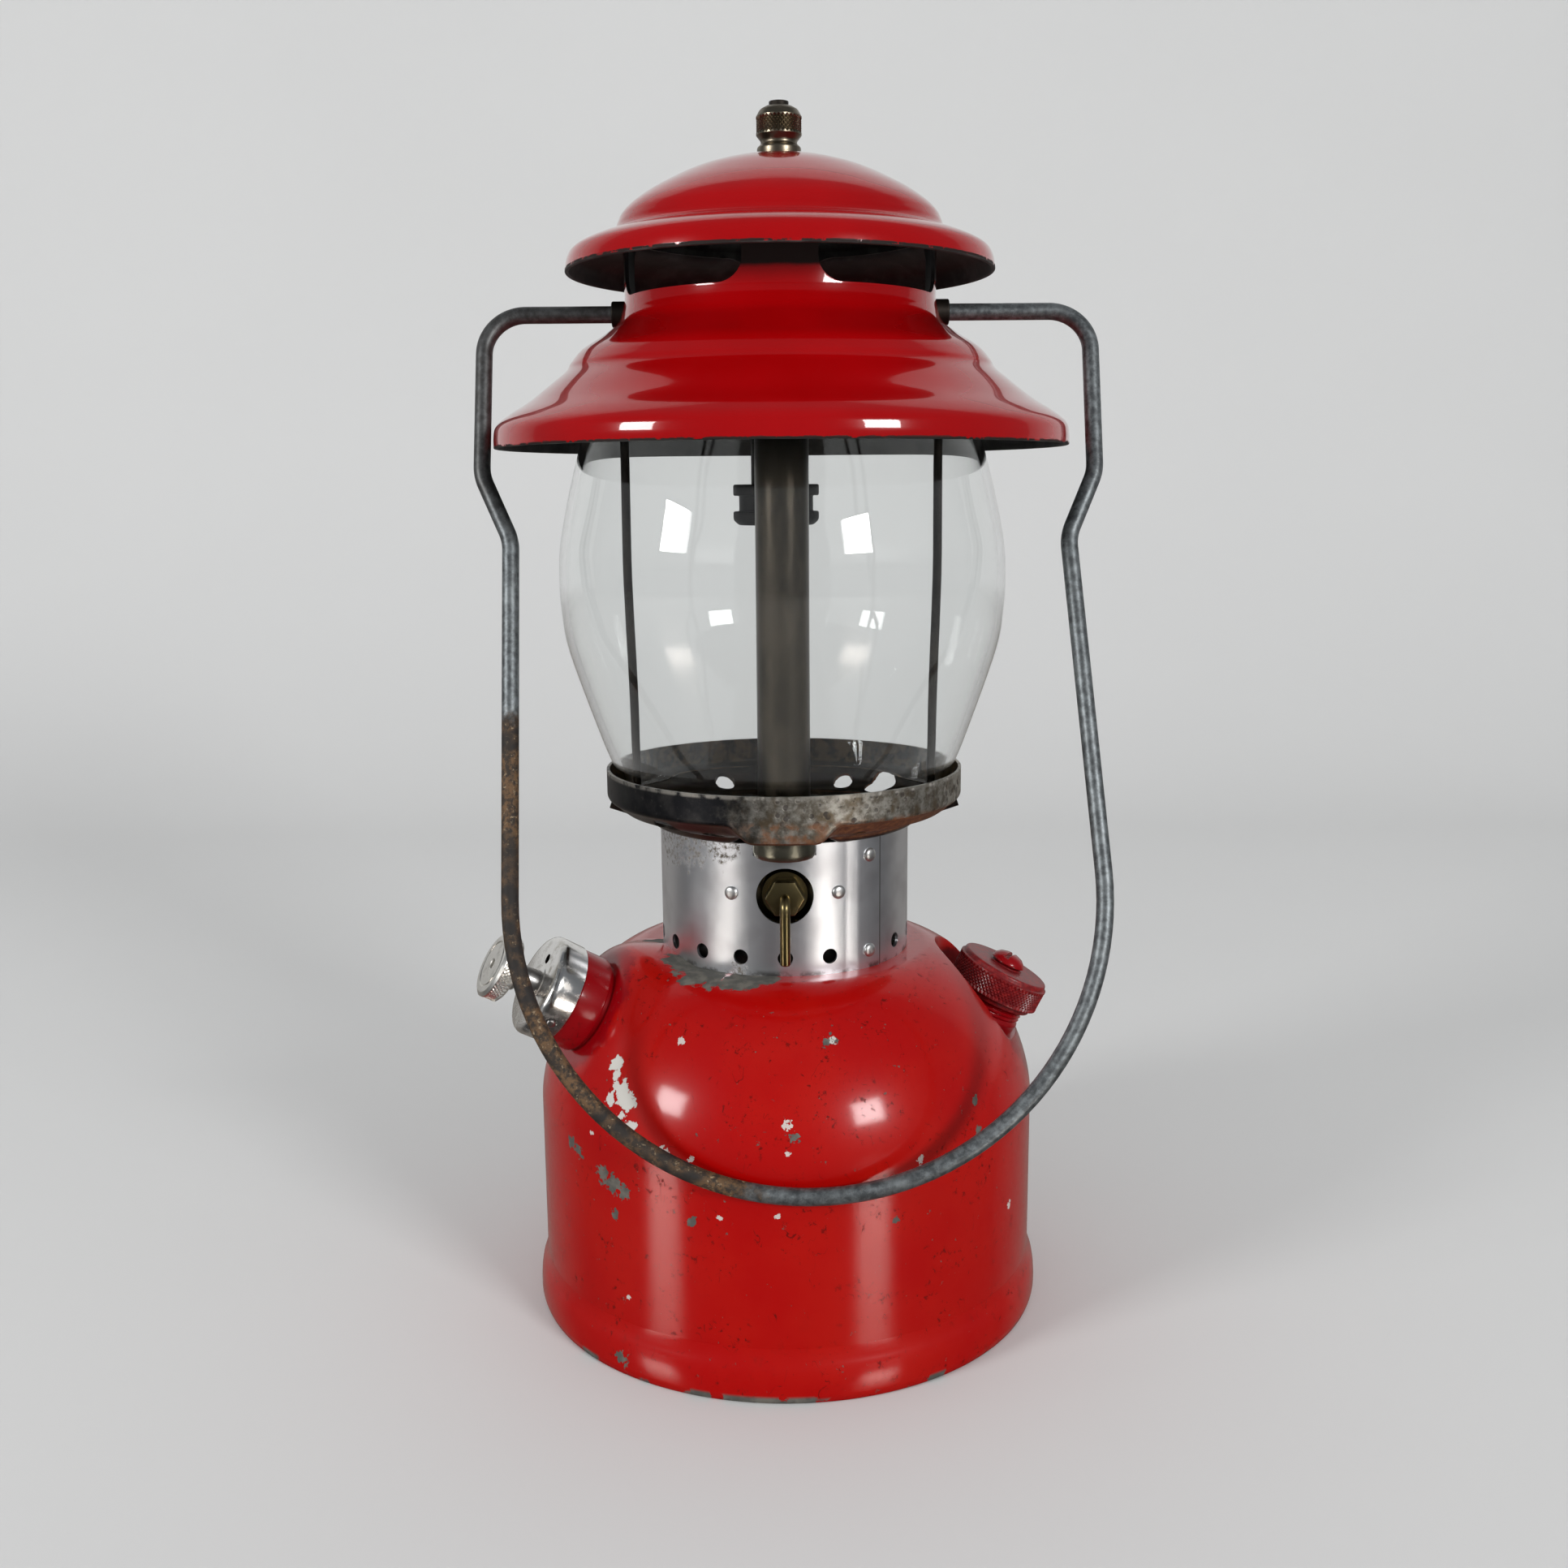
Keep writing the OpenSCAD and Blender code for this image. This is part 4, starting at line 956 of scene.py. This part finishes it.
class LANTERN_OT_pump(bpy.types.Operator):
    """Pump barrel with its red collar, plated cap with pins, rod and knurled knob"""

    bl_idname = "lantern.pump"
    bl_label = "Pump"

    def execute(self, context):
        place = pump_place()
        out, cap_out, knob_in, knob_out = 73.4, 81.5, 89.5, 94.4
        bm = bmesh.new()
        turned(bm, [
            (11.5, -24), (12.5, -24), (12.5, 64.4), (11.9, 64.6), (11.9, 66.0), (13.0, 66.2, 0.3),
            (13.0, out, 0.25), (12.5, out), (12.5, cap_out - 1.6), (11.5, cap_out - 1.6),
        ], 96, 0, place, True)
        piece("pump_barrel_collared", bm, ["tank_red"], "lantern", ["pump_barrel"])
        shell = bmesh.new()
        turned(shell, [
            (0, cap_out - 1.45), (12.55, cap_out - 1.45), (12.55, out + 0.2), (13.4, out + 0.2, 0.2),
            (13.5, cap_out - 2.6), (13.5, cap_out, 2.0), (5.2, cap_out), (5.0, cap_out + 0.25, 0.2),
            (0, cap_out + 0.25),
        ], 96)
        cutters = bmesh.new()
        cylinder(cutters, 1.3, cap_out - 5, cap_out + 3, moved(-6.9, 0, 0), 24)
        cylinder(cutters, 3.26, cap_out - 5, cap_out + 3, None, 32)
        pins = [moved(0, 0, out + 3.6) @ rotated("Z", turn) @ rotated("Y", 90) for turn in PIN_TURNS]
        for pin in pins:
            cylinder(cutters, 1.55, 12.7, 16, pin, 24)
        bm = carved(shell, cutters)
        bmesh.ops.transform(bm, matrix=place, verts=bm.verts)
        piece("pump_cap_pressed", bm, ["nickel"], "lantern", ["pump_cap"], rounding=0.15)
        bm = bmesh.new()
        for pin in pins:
            turned(bm, [(0, 12.5), (1.2, 12.5), (1.2, 13.9, 0.4), (0, 14.05)], 24, 0, place @ pin)
        piece("pump_cap_pins_domed", bm, ["plain_steel"], "lantern", ["pump_cap_pins"])
        bm = bmesh.new()
        radius, count, rows = 8.75, 52, 6
        low, high = knob_in + 0.6, knob_out - 0.6
        side = [(radius, low + (high - low) * k / rows) for k in range(rows + 1)]
        faces = turned(bm, [
            (3.2, knob_in - 2.5), (4.4, knob_in - 2.5, 0.4), (4.4, knob_in, 0.3), (8.0, knob_in, 0.25),
            *side, (8.2, knob_out - 0.25), (7.8, knob_out, 0.15), (6.4, knob_out),
            (6.25, knob_out - 0.28), (5.9, knob_out - 0.28), (5.75, knob_out), (1.5, knob_out),
            (1.2, knob_out - 0.2), (1.2, knob_out - 1.2), (0, knob_out - 1.2),
        ], 2 * count, 0, place)
        turned(bm, [(3.2, knob_in - 2.5), (0, knob_in - 2.5)], 2 * count, 0, place)
        knurl(bm, faces, radius, low, high, count, rows, mm(sizes().knurl_depth), place)
        piece("pump_knob_knurled", bm, ["aluminium"], "pump_plunger", ["pump_knob"], sharp=24)
        bm = bmesh.new()
        cylinder(bm, 3.2, -12, knob_in + 2.8, place, 48, 0.3)
        piece("pump_rod_turned", bm, ["plain_steel"], "pump_plunger", ["pump_rod"])
        return {"FINISHED"}


class LANTERN_OT_collar(bpy.types.Operator):
    """Collar with its vent holes, windows and lapped seam, and its rivets"""

    bl_idname = "lantern.collar"
    bl_label = "Collar"

    def execute(self, context):
        radius, sheet, steps = COLLAR_RADIUS, THIN_SHEET, 360
        bm = bmesh.new()
        heights = [TANK_TOP + (PAN_Z - TANK_TOP) * k / 6 for k in range(7)]
        wall = [(radius, z) for z in heights]
        turned(bm, [(radius - sheet, TANK_TOP), *wall, (radius - sheet, PAN_Z)], steps, 0, None, True)
        tidy(bm)
        for vert in bm.verts:
            turn = math.degrees(math.atan2(vert.co.x, -vert.co.y))
            if math.hypot(vert.co.x, vert.co.y) > radius - 0.1 and LAP_START < turn < LAP_END:
                lift = 1 + 0.42 / radius * min(1.0, (turn - LAP_START) / 6)
                vert.co.x, vert.co.y = vert.co.x * lift, vert.co.y * lift
        cutters = bmesh.new()
        front = rotated("Z", 180)
        cylinder(cutters, 7.35, 20, 45, front @ across_place(CLEANER_Z), 64)
        cylinder(cutters, 9.35, 20, 45, across_place(VALVE_Z), 64)
        cylinder(cutters, 8.35, 129.9, 140, moved(*AIR_TUBE_AT), 64)
        for k in range(18):
            if k != 2:
                spin = rotated("Z", 180 + 20 * k)
                cylinder(cutters, 2.0, 25, 45, spin @ across_place(HOLES_Z), 28)
        piece("collar_rolled", carved(bm, cutters), ["collar_metal"], "lantern", ["collar"], sharp=20)
        bm = bmesh.new()
        for turn, z, lift in ((40, HOLES_Z, 0.4), (40, 128.5, 0.4), (24, 119.8, 0), (-24, 119.8, 0)):
            spin = rotated("Z", 180 + turn) @ across_place(z)
            base = radius - 0.3 + lift
            dome = [(0, 0), (1.8, 0), (1.8, 0.6), (1.66, 0.85), (1.25, 1.08), (0.65, 1.2), (0, 1.24)]
            turned(bm, [(r, base + rise) for r, rise in dome], 32, 0, spin)
        piece("collar_rivets_domed", bm, ["rivet_metal"], "lantern", ["collar_rivets"], sharp=50)
        return {"FINISHED"}


class LANTERN_OT_cleaner(bpy.types.Operator):
    """Tip cleaner: hexagon packing nut and bent wire lever"""

    bl_idname = "lantern.cleaner"
    bl_label = "Tip cleaner"

    def execute(self, context):
        front = rotated("Z", 180) @ across_place(CLEANER_Z)
        bm = bmesh.new()
        bmesh.ops.create_cone(
            bm, cap_ends=True, segments=6, radius1=5.14, radius2=5.14, depth=5.5,
            matrix=front @ moved(0, 0, 33.75) @ rotated("Z", 30),
        )
        rounded(bm, bm.edges[:], 0.45)
        piece("cleaner_nut_hexagon", bm, ["old_brass"], "lantern", ["cleaner_nut"], sharp=25)
        path = [(-16.7, CLEANER_Z), (39.4, CLEANER_Z), (39.4, 102.9)]
        side = rotated("Z", -90) @ rotated("X", 90)
        bm = wire(path, [0, 2.4, 0], 2.7, side, 24)
        rounded(bm, [e for e in bm.edges if len(e.link_faces) == 2 and e.calc_face_angle() > 1.2], 0.4)
        cylinder(bm, 0.45, -19.8, -16.5, moved(0.8, 0, 0) @ front, 16)
        piece("cleaner_lever_bent", bm, ["old_brass"], "cleaner_lever", ["cleaner_lever"])
        return {"FINISHED"}


class LANTERN_OT_pan(bpy.types.Operator):
    """Frame pan with the globe's ring, and the air tube with its ferrule"""

    bl_idname = "lantern.pan"
    bl_label = "Pan and air tube"

    def execute(self, context):
        ring, sheet, well = mm(sizes().ring_radius), THIN_SHEET, 36.3
        bm = bmesh.new()
        steps = [RING_FOOT + 1.5 + (RING_TOP - RING_FOOT - 1.5) * k / 6 for k in range(7)]
        floor = [(well - 2.2 - 1.5 * k, PAN_Z) for k in range(12)]
        outer = [(ring, z) for z in reversed(steps)]
        below = [
            *outer, (ring, RING_FOOT, 1.0), *reversed(PAN_DISH), (well - 0.6, PAN_Z, 1.2), *floor,
            (0, PAN_Z),
        ]
        rise = [(r, PAN_Z + sheet) for r, _ in reversed(floor)]
        inside = [
            (0, PAN_Z + sheet), *rise, (well - 0.9, PAN_Z + sheet, 1.0),
            *[(r, z + sheet) for r, z in PAN_DISH], (ring - sheet, RING_FOOT + 1.0, 0.4),
            *[(ring - sheet, z) for z in steps],
        ]
        turned(bm, [*below, *inside], 300, 1, None, True)
        tidy(bm)
        self.press_boss(bm)
        for face in bm.faces:
            middle = face.calc_center_median()
            if math.hypot(middle.x, middle.y) > ring - 0.45 and face.normal.z > -0.75:
                face.material_index = 0
        cutters = bmesh.new()
        holes = [(41.1, turn, 2.9) for turn in (64.5, 115.5, -64.5, -115.5)]
        holes += [(41.7, turn, 4.7) for turn in (47, 227)]
        for radius, turn, size in holes:
            a = math.radians(turn)
            at = moved(radius * math.cos(a), radius * math.sin(a), 0)
            cylinder(cutters, size, 130, 142, at, 40, 0, 1)
        cylinder(cutters, 5.5, 128, 142, moved(*GENERATOR_AT), 40, 0, 1)
        cylinder(cutters, 6.6, 128, 142, moved(*AIR_TUBE_AT), 48, 0, 1)
        finishes = ["burnt_steel", "brown_steel"]
        piece("frame_pan_pressed", carved(bm, cutters), finishes, "lantern", ["frame_pan"])
        bm = bmesh.new()
        tube(bm, 6.5, 5.6, 130.2, 250.5, moved(*AIR_TUBE_AT), 64)
        piece("air_tube_drawn", bm, ["tube_steel"], "lantern", ["air_tube"])
        bm = bmesh.new()
        turned(bm, [
            (6.55, 130.2, 0.2), (7.5, 130.2, 0.5), (8.0, 131.6, 0.4), (8.0, 135.4, 0.3),
            (7.7, 136.0, 0.2), (6.55, 136.0),
        ], 18, 0, moved(*AIR_TUBE_AT), True)
        piece("air_tube_ferrule_spun", bm, ["ferrule_metal"], "lantern", ["air_tube_ferrule"], sharp=30)
        return {"FINISHED"}

    def press_boss(self, bm):
        """Presses the pan's front down under the ring and up over the well, about the air tube's foot."""
        bm.normal_update()
        for vert in bm.verts:
            x, y, z = vert.co
            if y > -22 or z > 143.5:
                continue
            share = eased((BOSS_HALF - abs(x)) / BOSS_EASE) * min(max((-22.5 - y) / 3, 0), 1)
            reach = math.hypot(x, y)
            up, out = vert.normal.z, vert.normal.x * x + vert.normal.y * y
            under = up < -0.25 or (abs(up) <= 0.25 and out > 0)
            if reach > 46.5:
                vert.co.z -= 4.1 * share * min(max((143.5 - z) / 3.2, 0), 1)
            else:
                target = BOSS_Z if under else BOSS_Z + THIN_SHEET
                vert.co.z = z + (target - z) * share


class LANTERN_OT_posts(bpy.types.Operator):
    """The frame's two wire posts, a little bowed, with their feet bent under the pan"""

    bl_idname = "lantern.posts"
    bl_label = "Posts"

    def execute(self, context):
        size = mm(sizes().post_wire)
        path = [(47.3, 137.2), (40.4, 134.9), (40.35, 165), (41.3, 200), (41.2, 228), (41.6, 261)]
        bends = [0, 1.5, 300, 300, 300, 0]
        bm = bmesh.new()
        for turn in (0, 180):
            upright = rotated("Z", turn) @ rotated("X", 90)
            post = wire(path, bends, size, upright, 20, 8)
            mesh = bpy.data.meshes.new("post")
            post.to_mesh(mesh)
            post.free()
            bm.from_mesh(mesh)
            bpy.data.meshes.remove(mesh)
        piece("frame_posts_bent", bm, ["black_steel"], "lantern", ["frame_posts"])
        return {"FINISHED"}


class LANTERN_OT_burner(bpy.types.Operator):
    """Burner tube, and burner cap with the groove that a mantle ties into"""

    bl_idname = "lantern.burner"
    bl_label = "Burner"

    def execute(self, context):
        at = moved(*BURNER_AT)
        bm = bmesh.new()
        tube(bm, 6.5, 5.5, 222.5, 247, at, 64)
        piece("burner_tube_drawn", bm, ["burnt_iron"], "lantern", ["burner_tube"])
        bm = bmesh.new()
        turned(bm, [
            (5.5, 222.5), (11.3, 222.5, 0.5), (11.3, 219.6, 0.5), (9.75, 219.6, 0.3), (9.75, 215.6, 0.3),
            (11.3, 215.6, 0.5), (11.3, 213.3, 0.6), (9.8, 212, 0.5), (8.3, 212, 0.3), (8.3, 214),
            (5.5, 214),
        ], 96, 0, at, True)
        piece("burner_cap_turned", bm, ["burnt_iron"], "lantern", ["burner_cap"])
        return {"FINISHED"}


class LANTERN_OT_globe(bpy.types.Operator):
    """The clear glass globe, with fire-polished edges"""

    bl_idname = "lantern.globe"
    bl_label = "Globe"

    def execute(self, context):
        r, top, glass = mm(sizes().globe_radius), GLOBE_TOP, mm(sizes().glass)
        curve = through([
            (r - 12.4, top), (r - 5.9, top - 18), (r - 1.1, top - 38), (r, top - 49),
            (r - 0.4, top - 59), (r - 2.3, top - 70), (r - 9.7, top - 92), (r - 13.2, RING_TOP),
            (r - 15.3, RING_FOOT - 0.6),
        ], 8)
        bore = inner_face(curve, glass)
        lip = 0.9
        outside = [(*curve[0], lip), *curve[1:-1], (*curve[-1], lip)]
        inside = [(*bore[-1], lip), *reversed(bore[1:-1]), (*bore[0], lip)]
        bm = bmesh.new()
        turned(bm, outside + inside, FINE_STEPS, 0, None, True)
        piece("globe_blown", bm, ["glass"], "lantern", ["globe"], sharp=60)
        return {"FINISHED"}


class LANTERN_OT_ventilator(bpy.types.Operator):
    """Ventilator hood with windows in its neck, and the cap above it"""

    bl_idname = "lantern.ventilator"
    bl_label = "Ventilator"

    def execute(self, context):
        h, n, p = mm(sizes().hood_radius), NECK_RADIUS, PIVOT_Z
        curve = through([
            (n, p + 3), (n + 0.6, p), (n + 2, p - 3), (n + 6.3, p - 6.3), (n + 11.4, p - 9.6),
            (n + 14.2, p - 12.8), (n + 15.4, p - 14.8), (h - 15.4, p - 17.7), (h - 9.4, p - 22.4),
            (h - 3.7, p - 26), (h - 0.7, p - 28.6), (h, HOOD_RIM + 2.6), (h, HOOD_RIM),
        ], 6)
        neck = [(n, NECK_TOP - (NECK_TOP - p - 3) * k / 6) for k in range(6)]
        bm = self.sheet(neck + curve)
        windows = bmesh.new()
        half, sill = n * math.sin(math.radians(32)), p + 3.2
        for turn in (45, 135, 225, 315):
            self.window(windows, 2 * half, NECK_TOP - 1.5 - sill, sill, turn)
        sides = ["red_enamel", "soot_black"]
        piece("vent_hood_pressed", carved(bm, windows), sides, "lantern", ["vent_hood"])
        c = mm(sizes().cap_radius)
        crown = through([
            (2.8, CAP_TOP), (n - 28, CAP_TOP - 1), (n - 17.5, CAP_TOP - 4), (n - 8, CAP_TOP - 8.5),
            (n - 2.4, CAP_TOP - 12.1), (n + 0.3, CAP_TOP - 14.7), (n + 1.4, CAP_TOP - 16.9),
            (n + 1.9, CAP_TOP - 18.4), (n + 2.8, CAP_TOP - 19.5), (n + 5, CAP_TOP - 20.4),
            (c - 6.4, CAP_TOP - 21.3), (c - 2.2, CAP_TOP - 23.3), (c - 0.6, CAP_TOP - 25.6),
            (c, CAP_TOP - 28.9),
        ], 6)
        piece("vent_cap_pressed", self.sheet(crown), sides, "lantern", ["vent_cap"])
        return {"FINISHED"}

    def sheet(self, curve):
        """Enamelled sheet: red outside, dark inside, with its rim rolled round."""
        inside = inner_face(curve, SHEET)
        bm = bmesh.new()
        roll = 0.42
        outline = [*curve[:-1], (*curve[-1], roll), (*inside[-1], roll), *reversed(inside[:-1])]
        turned(bm, outline, FINE_STEPS, 0, None, True)
        tidy(bm)
        outer = {(round(r, 2), round(z, 2)) for r, z in curve}
        for face in bm.faces:
            known = [(round(math.hypot(v.co.x, v.co.y), 2), round(v.co.z, 2)) in outer for v in face.verts]
            face.material_index = 0 if any(known) else 1
        return bm

    def window(self, bm, wide, high, sill, turn):
        """A rounded window, ready to cut through the neck at one turn."""
        known = set(bm.verts)
        spin = rotated("Z", turn + 90) @ across_place(sill + high / 2, -50)
        pane = Matrix.Diagonal((wide, high, 1, 1))
        made = bmesh.ops.create_grid(bm, x_segments=1, y_segments=1, size=0.5, matrix=pane)
        rounded(bm, made["verts"], 5.5, "VERTICES", 8)
        face = next(f for f in bm.faces if not any(v in known for v in f.verts))
        grown = bmesh.ops.extrude_face_region(bm, geom=[face])["geom"]
        bmesh.ops.translate(bm, vec=(0, 0, 25), verts=verts_in(grown))
        bmesh.ops.transform(bm, matrix=spin, verts=[v for v in bm.verts if v not in known])
        for face in bm.faces:
            face.material_index = 1


class LANTERN_OT_ball_nut(bpy.types.Operator):
    """The knurled nut that holds the ventilator, and the stud's end in it"""

    bl_idname = "lantern.ball_nut"
    bl_label = "Ball nut"

    def execute(self, context):
        radius, count, rows = 5.8, 34, 8
        low, high = NUT_TOP - 7.0, NUT_TOP - 2.5
        band = [(radius, high - (high - low) * k / rows) for k in range(rows + 1)]
        bm = bmesh.new()
        faces = turned(bm, [
            (2.56, NUT_TOP - 0.2), (3.2, NUT_TOP, 0.2), (4.9, NUT_TOP - 0.9, 0.5), (5.55, NUT_TOP - 2.1),
            *band, (5.4, NUT_TOP - 7.5), (4.65, NUT_TOP - 8.4, 0.3), (4.65, NUT_TOP - 9.2, 0.3),
            (5.6, NUT_TOP - 10, 0.35), (5.6, CAP_TOP + 0.05, 0.2), (2.56, CAP_TOP + 0.05),
        ], 2 * count, 0, None, True)
        knurl(bm, faces, radius, low, high, count, rows, mm(sizes().knurl_depth) * 1.4)
        piece("ball_nut_knurled", bm, ["nut_metal"], "ball_nut", ["ball_nut"], sharp=24)
        dress("top_stud", "black_steel", 0.3)
        return {"FINISHED"}


class LANTERN_OT_bail(bpy.types.Operator):
    """The bail's bent wire, and the two ears it turns in"""

    bl_idname = "lantern.bail"
    bl_label = "Bail"

    def execute(self, context):
        size, reach, leg = mm(sizes().bail_wire), 222.5, 77.8
        end = 36.6
        path = [
            (-end, 0), (1.5 - leg, 0), (1.5 - leg, -43), (9.1 - leg, -60), (11.4 - leg, -reach),
            (leg + 5.9, -reach), (leg - 5.3, -60), (leg + 2, -43), (leg + 2, 0), (end, 0),
        ]
        bends = [0, 10.5, 12, 12, 72.6, 72.6, 12, 12, 10.5, 0]
        place = moved(0, 0, PIVOT_Z) @ rotated("X", 90 - BAIL_LEAN)
        piece("bail_bent", wire(path, bends, size, place, 36, 3), ["bail_steel"], "bail", ["bail"])
        bm = bmesh.new()
        for turn in (90, -90):
            side = moved(0, 0, PIVOT_Z) @ rotated("Y", turn)
            turned(bm, [
                (2.22, 38.2), (4.0, 38.2, 0.1), (4.0, 38.9, 0.25), (3.3, 39.4, 0.3), (3.3, 43.5, 0.4),
                (2.22, 43.5, 0.15),
            ], 40, 0, side, True)
        piece("bail_ears_rolled", bm, ["black_steel"], "lantern", ["bail_ears"])
        return {"FINISHED"}


class LANTERN_OT_inside(bpy.types.Operator):
    """Finishes of the valve, the generator and the other pieces that keep their CAD shape"""

    bl_idname = "lantern.inside"
    bl_label = "Valve and inner pieces"

    def execute(self, context):
        shown = {
            "valve_wheel": ("wheel_black", 0.5),
            "wheel_screw": ("plain_steel", 0.2),
            "valve_stem": ("old_brass", 0.0),
            "valve_packing_nut": ("old_brass", 0.4),
            "valve_body": ("old_brass", 0.4),
            "generator_nut": ("old_brass", 0.4),
            "generator_tube": ("tube_steel", 0.2),
            "burner_manifold": ("burnt_iron", 0.5),
            "top_bridge": ("black_steel", 0.3),
            "burner_screen": ("burnt_iron", 0.0),
        }
        hidden = {
            "filler_gasket": "gasket", "filler_insert": "brass", "pump_check_valve": "brass",
            "pump_air_stem": "brass", "pump_cup": "leather", "pump_cup_nut": "plain_steel",
            "valve_boss": "brass", "fuel_tube": "brass", "cleaner_needle": "plain_steel",
            "gas_tip": "brass",
        }
        for node, (name, rounding) in shown.items():
            dress(node, name, rounding)
        for node, name in hidden.items():
            dress(node, name)
        return {"FINISHED"}


class LANTERN_OT_stage(bpy.types.Operator):
    """Pale floor and backdrop, window lamps, even light and the camera"""

    bl_idname = "lantern.stage"
    bl_label = "Stage"

    def execute(self, context):
        scene, stage = context.scene, context.scene.lantern_stage
        self.floor(scene, stage)
        target = Vector(LAMP_TARGET)
        self.lamp(scene, "window_left", (-1.66, -1.12, 0.78), target, (0.5, 0.4), stage.window_power)
        self.lamp(scene, "window_right", (1.24, -1.58, 0.78), target, (0.5, 0.4), stage.window_power * 1.15)
        overhead = self.lamp(scene, "overhead", (0, -0.2, 2.3), target, (3.2, 3.0), stage.top_power)
        overhead.visible_glossy = False
        world = bpy.data.worlds.new("Even light")
        world.use_nodes = True
        light = next(n for n in world.node_tree.nodes if n.type == "BACKGROUND")
        sky = Nodes(world.node_tree)
        sky.feed(light.inputs["Color"], sky.blend(sky.mirrored(), (0.96, 0.98, 1.0), stage.reflected))
        sky.feed(light.inputs["Strength"], stage.ambient)
        scene.world = world
        camera = bpy.data.cameras.new("camera")
        camera.lens, camera.sensor_width = stage.lens, SENSOR
        camera.clip_start, camera.clip_end = 0.01, 20
        seat = bpy.data.objects.new("camera", camera)
        tilt = rotated("X", 90 - CAMERA_PITCH) @ rotated("Z", CAMERA_ROLL)
        seat.matrix_world = moved(*CAMERA_AT) @ tilt
        scene.collection.objects.link(seat)
        scene.camera = seat
        scene.view_settings.view_transform = "Standard"
        return {"FINISHED"}

    def floor(self, scene, stage):
        """A floor that bends up into the backdrop."""
        bm = bmesh.new()
        verts = [bm.verts.new((0, y, 0)) for y in (-3.0, 0.6)]
        bm.edges.new(verts)
        bend = spun(bm, [verts[1]], (0, 0.6, 0.5), (1, 0, 0), math.radians(90), 24)
        top = bmesh.ops.extrude_vert_indiv(bm, verts=verts_in(bend))["verts"]
        bmesh.ops.translate(bm, vec=(0, 0, 2.2), verts=top)
        bmesh.ops.translate(bm, vec=(-3, 0, 0), verts=bm.verts)
        wide = bmesh.ops.extrude_edge_only(bm, edges=bm.edges)["geom"]
        bmesh.ops.translate(bm, vec=(6, 0, 0), verts=verts_in(wide))
        bmesh.ops.recalc_face_normals(bm, faces=bm.faces)
        mesh = bpy.data.meshes.new("floor")
        bm.to_mesh(mesh)
        bm.free()
        mesh.shade_smooth()
        paper = Finish("floor_paper")
        tone = paper.blend(paper.noise(300, 2).over(0.3, 0.7), stage.floor, [c * 0.985 for c in stage.floor])
        table = paper.mirrored() * paper.axes()[2].over(140, 40)
        mesh.materials.append(paper.shade(
            base_color=paper.blend(table, tone, stage.table), metallic=table,
            roughness=0.75 + paper.noise(2, 2) * 0.1 - table * 0.59, specular_ior_level=0.15,
        ))
        obj = bpy.data.objects.new("floor", mesh)
        scene.collection.objects.link(obj)

    def lamp(self, scene, name, place, target, size, power):
        lamp = bpy.data.lights.new(name, "AREA")
        lamp.shape, lamp.size, lamp.size_y, lamp.energy = "RECTANGLE", *size, power
        obj = bpy.data.objects.new(name, lamp)
        obj.location = place
        obj.rotation_euler = (target - Vector(place)).to_track_quat("-Z", "Y").to_euler()
        scene.collection.objects.link(obj)
        return obj


OPERATORS = (
    LANTERN_OT_tank, LANTERN_OT_filler, LANTERN_OT_pump, LANTERN_OT_collar, LANTERN_OT_cleaner,
    LANTERN_OT_pan, LANTERN_OT_posts, LANTERN_OT_burner, LANTERN_OT_globe, LANTERN_OT_ventilator,
    LANTERN_OT_ball_nut, LANTERN_OT_bail, LANTERN_OT_inside, LANTERN_OT_stage,
)


class LANTERN_PT_panel(bpy.types.Panel):
    """Lists the lantern's settings and pieces"""

    bl_label = "Lantern"
    bl_idname = "LANTERN_PT_panel"
    bl_space_type = "VIEW_3D"
    bl_region_type = "UI"
    bl_category = "Lantern"

    def draw(self, context):
        scene = context.scene
        for group in (scene.lantern_sizes, scene.lantern_colours, scene.lantern_stage):
            box = self.layout.box()
            for name in group.bl_rna.properties.keys():
                if name not in ("rna_type", "name"):
                    box.prop(group, name)
        for operator in OPERATORS:
            self.layout.operator(operator.bl_idname)


CLASSES = (LanternSizes, LanternColours, LanternStage, *OPERATORS, LANTERN_PT_panel)


def register():
    for cls in CLASSES:
        bpy.utils.register_class(cls)
    bpy.types.Scene.lantern_sizes = bpy.props.PointerProperty(type=LanternSizes)
    bpy.types.Scene.lantern_colours = bpy.props.PointerProperty(type=LanternColours)
    bpy.types.Scene.lantern_stage = bpy.props.PointerProperty(type=LanternStage)


def unregister():
    del bpy.types.Scene.lantern_stage
    del bpy.types.Scene.lantern_colours
    del bpy.types.Scene.lantern_sizes
    for cls in reversed(CLASSES):
        bpy.utils.unregister_class(cls)


def main():
    register()
    for operator in OPERATORS:
        group, name = operator.bl_idname.split(".")
        getattr(getattr(bpy.ops, group), name)()
    bpy.context.view_layer.update()


if __name__ == "__main__":
    main()
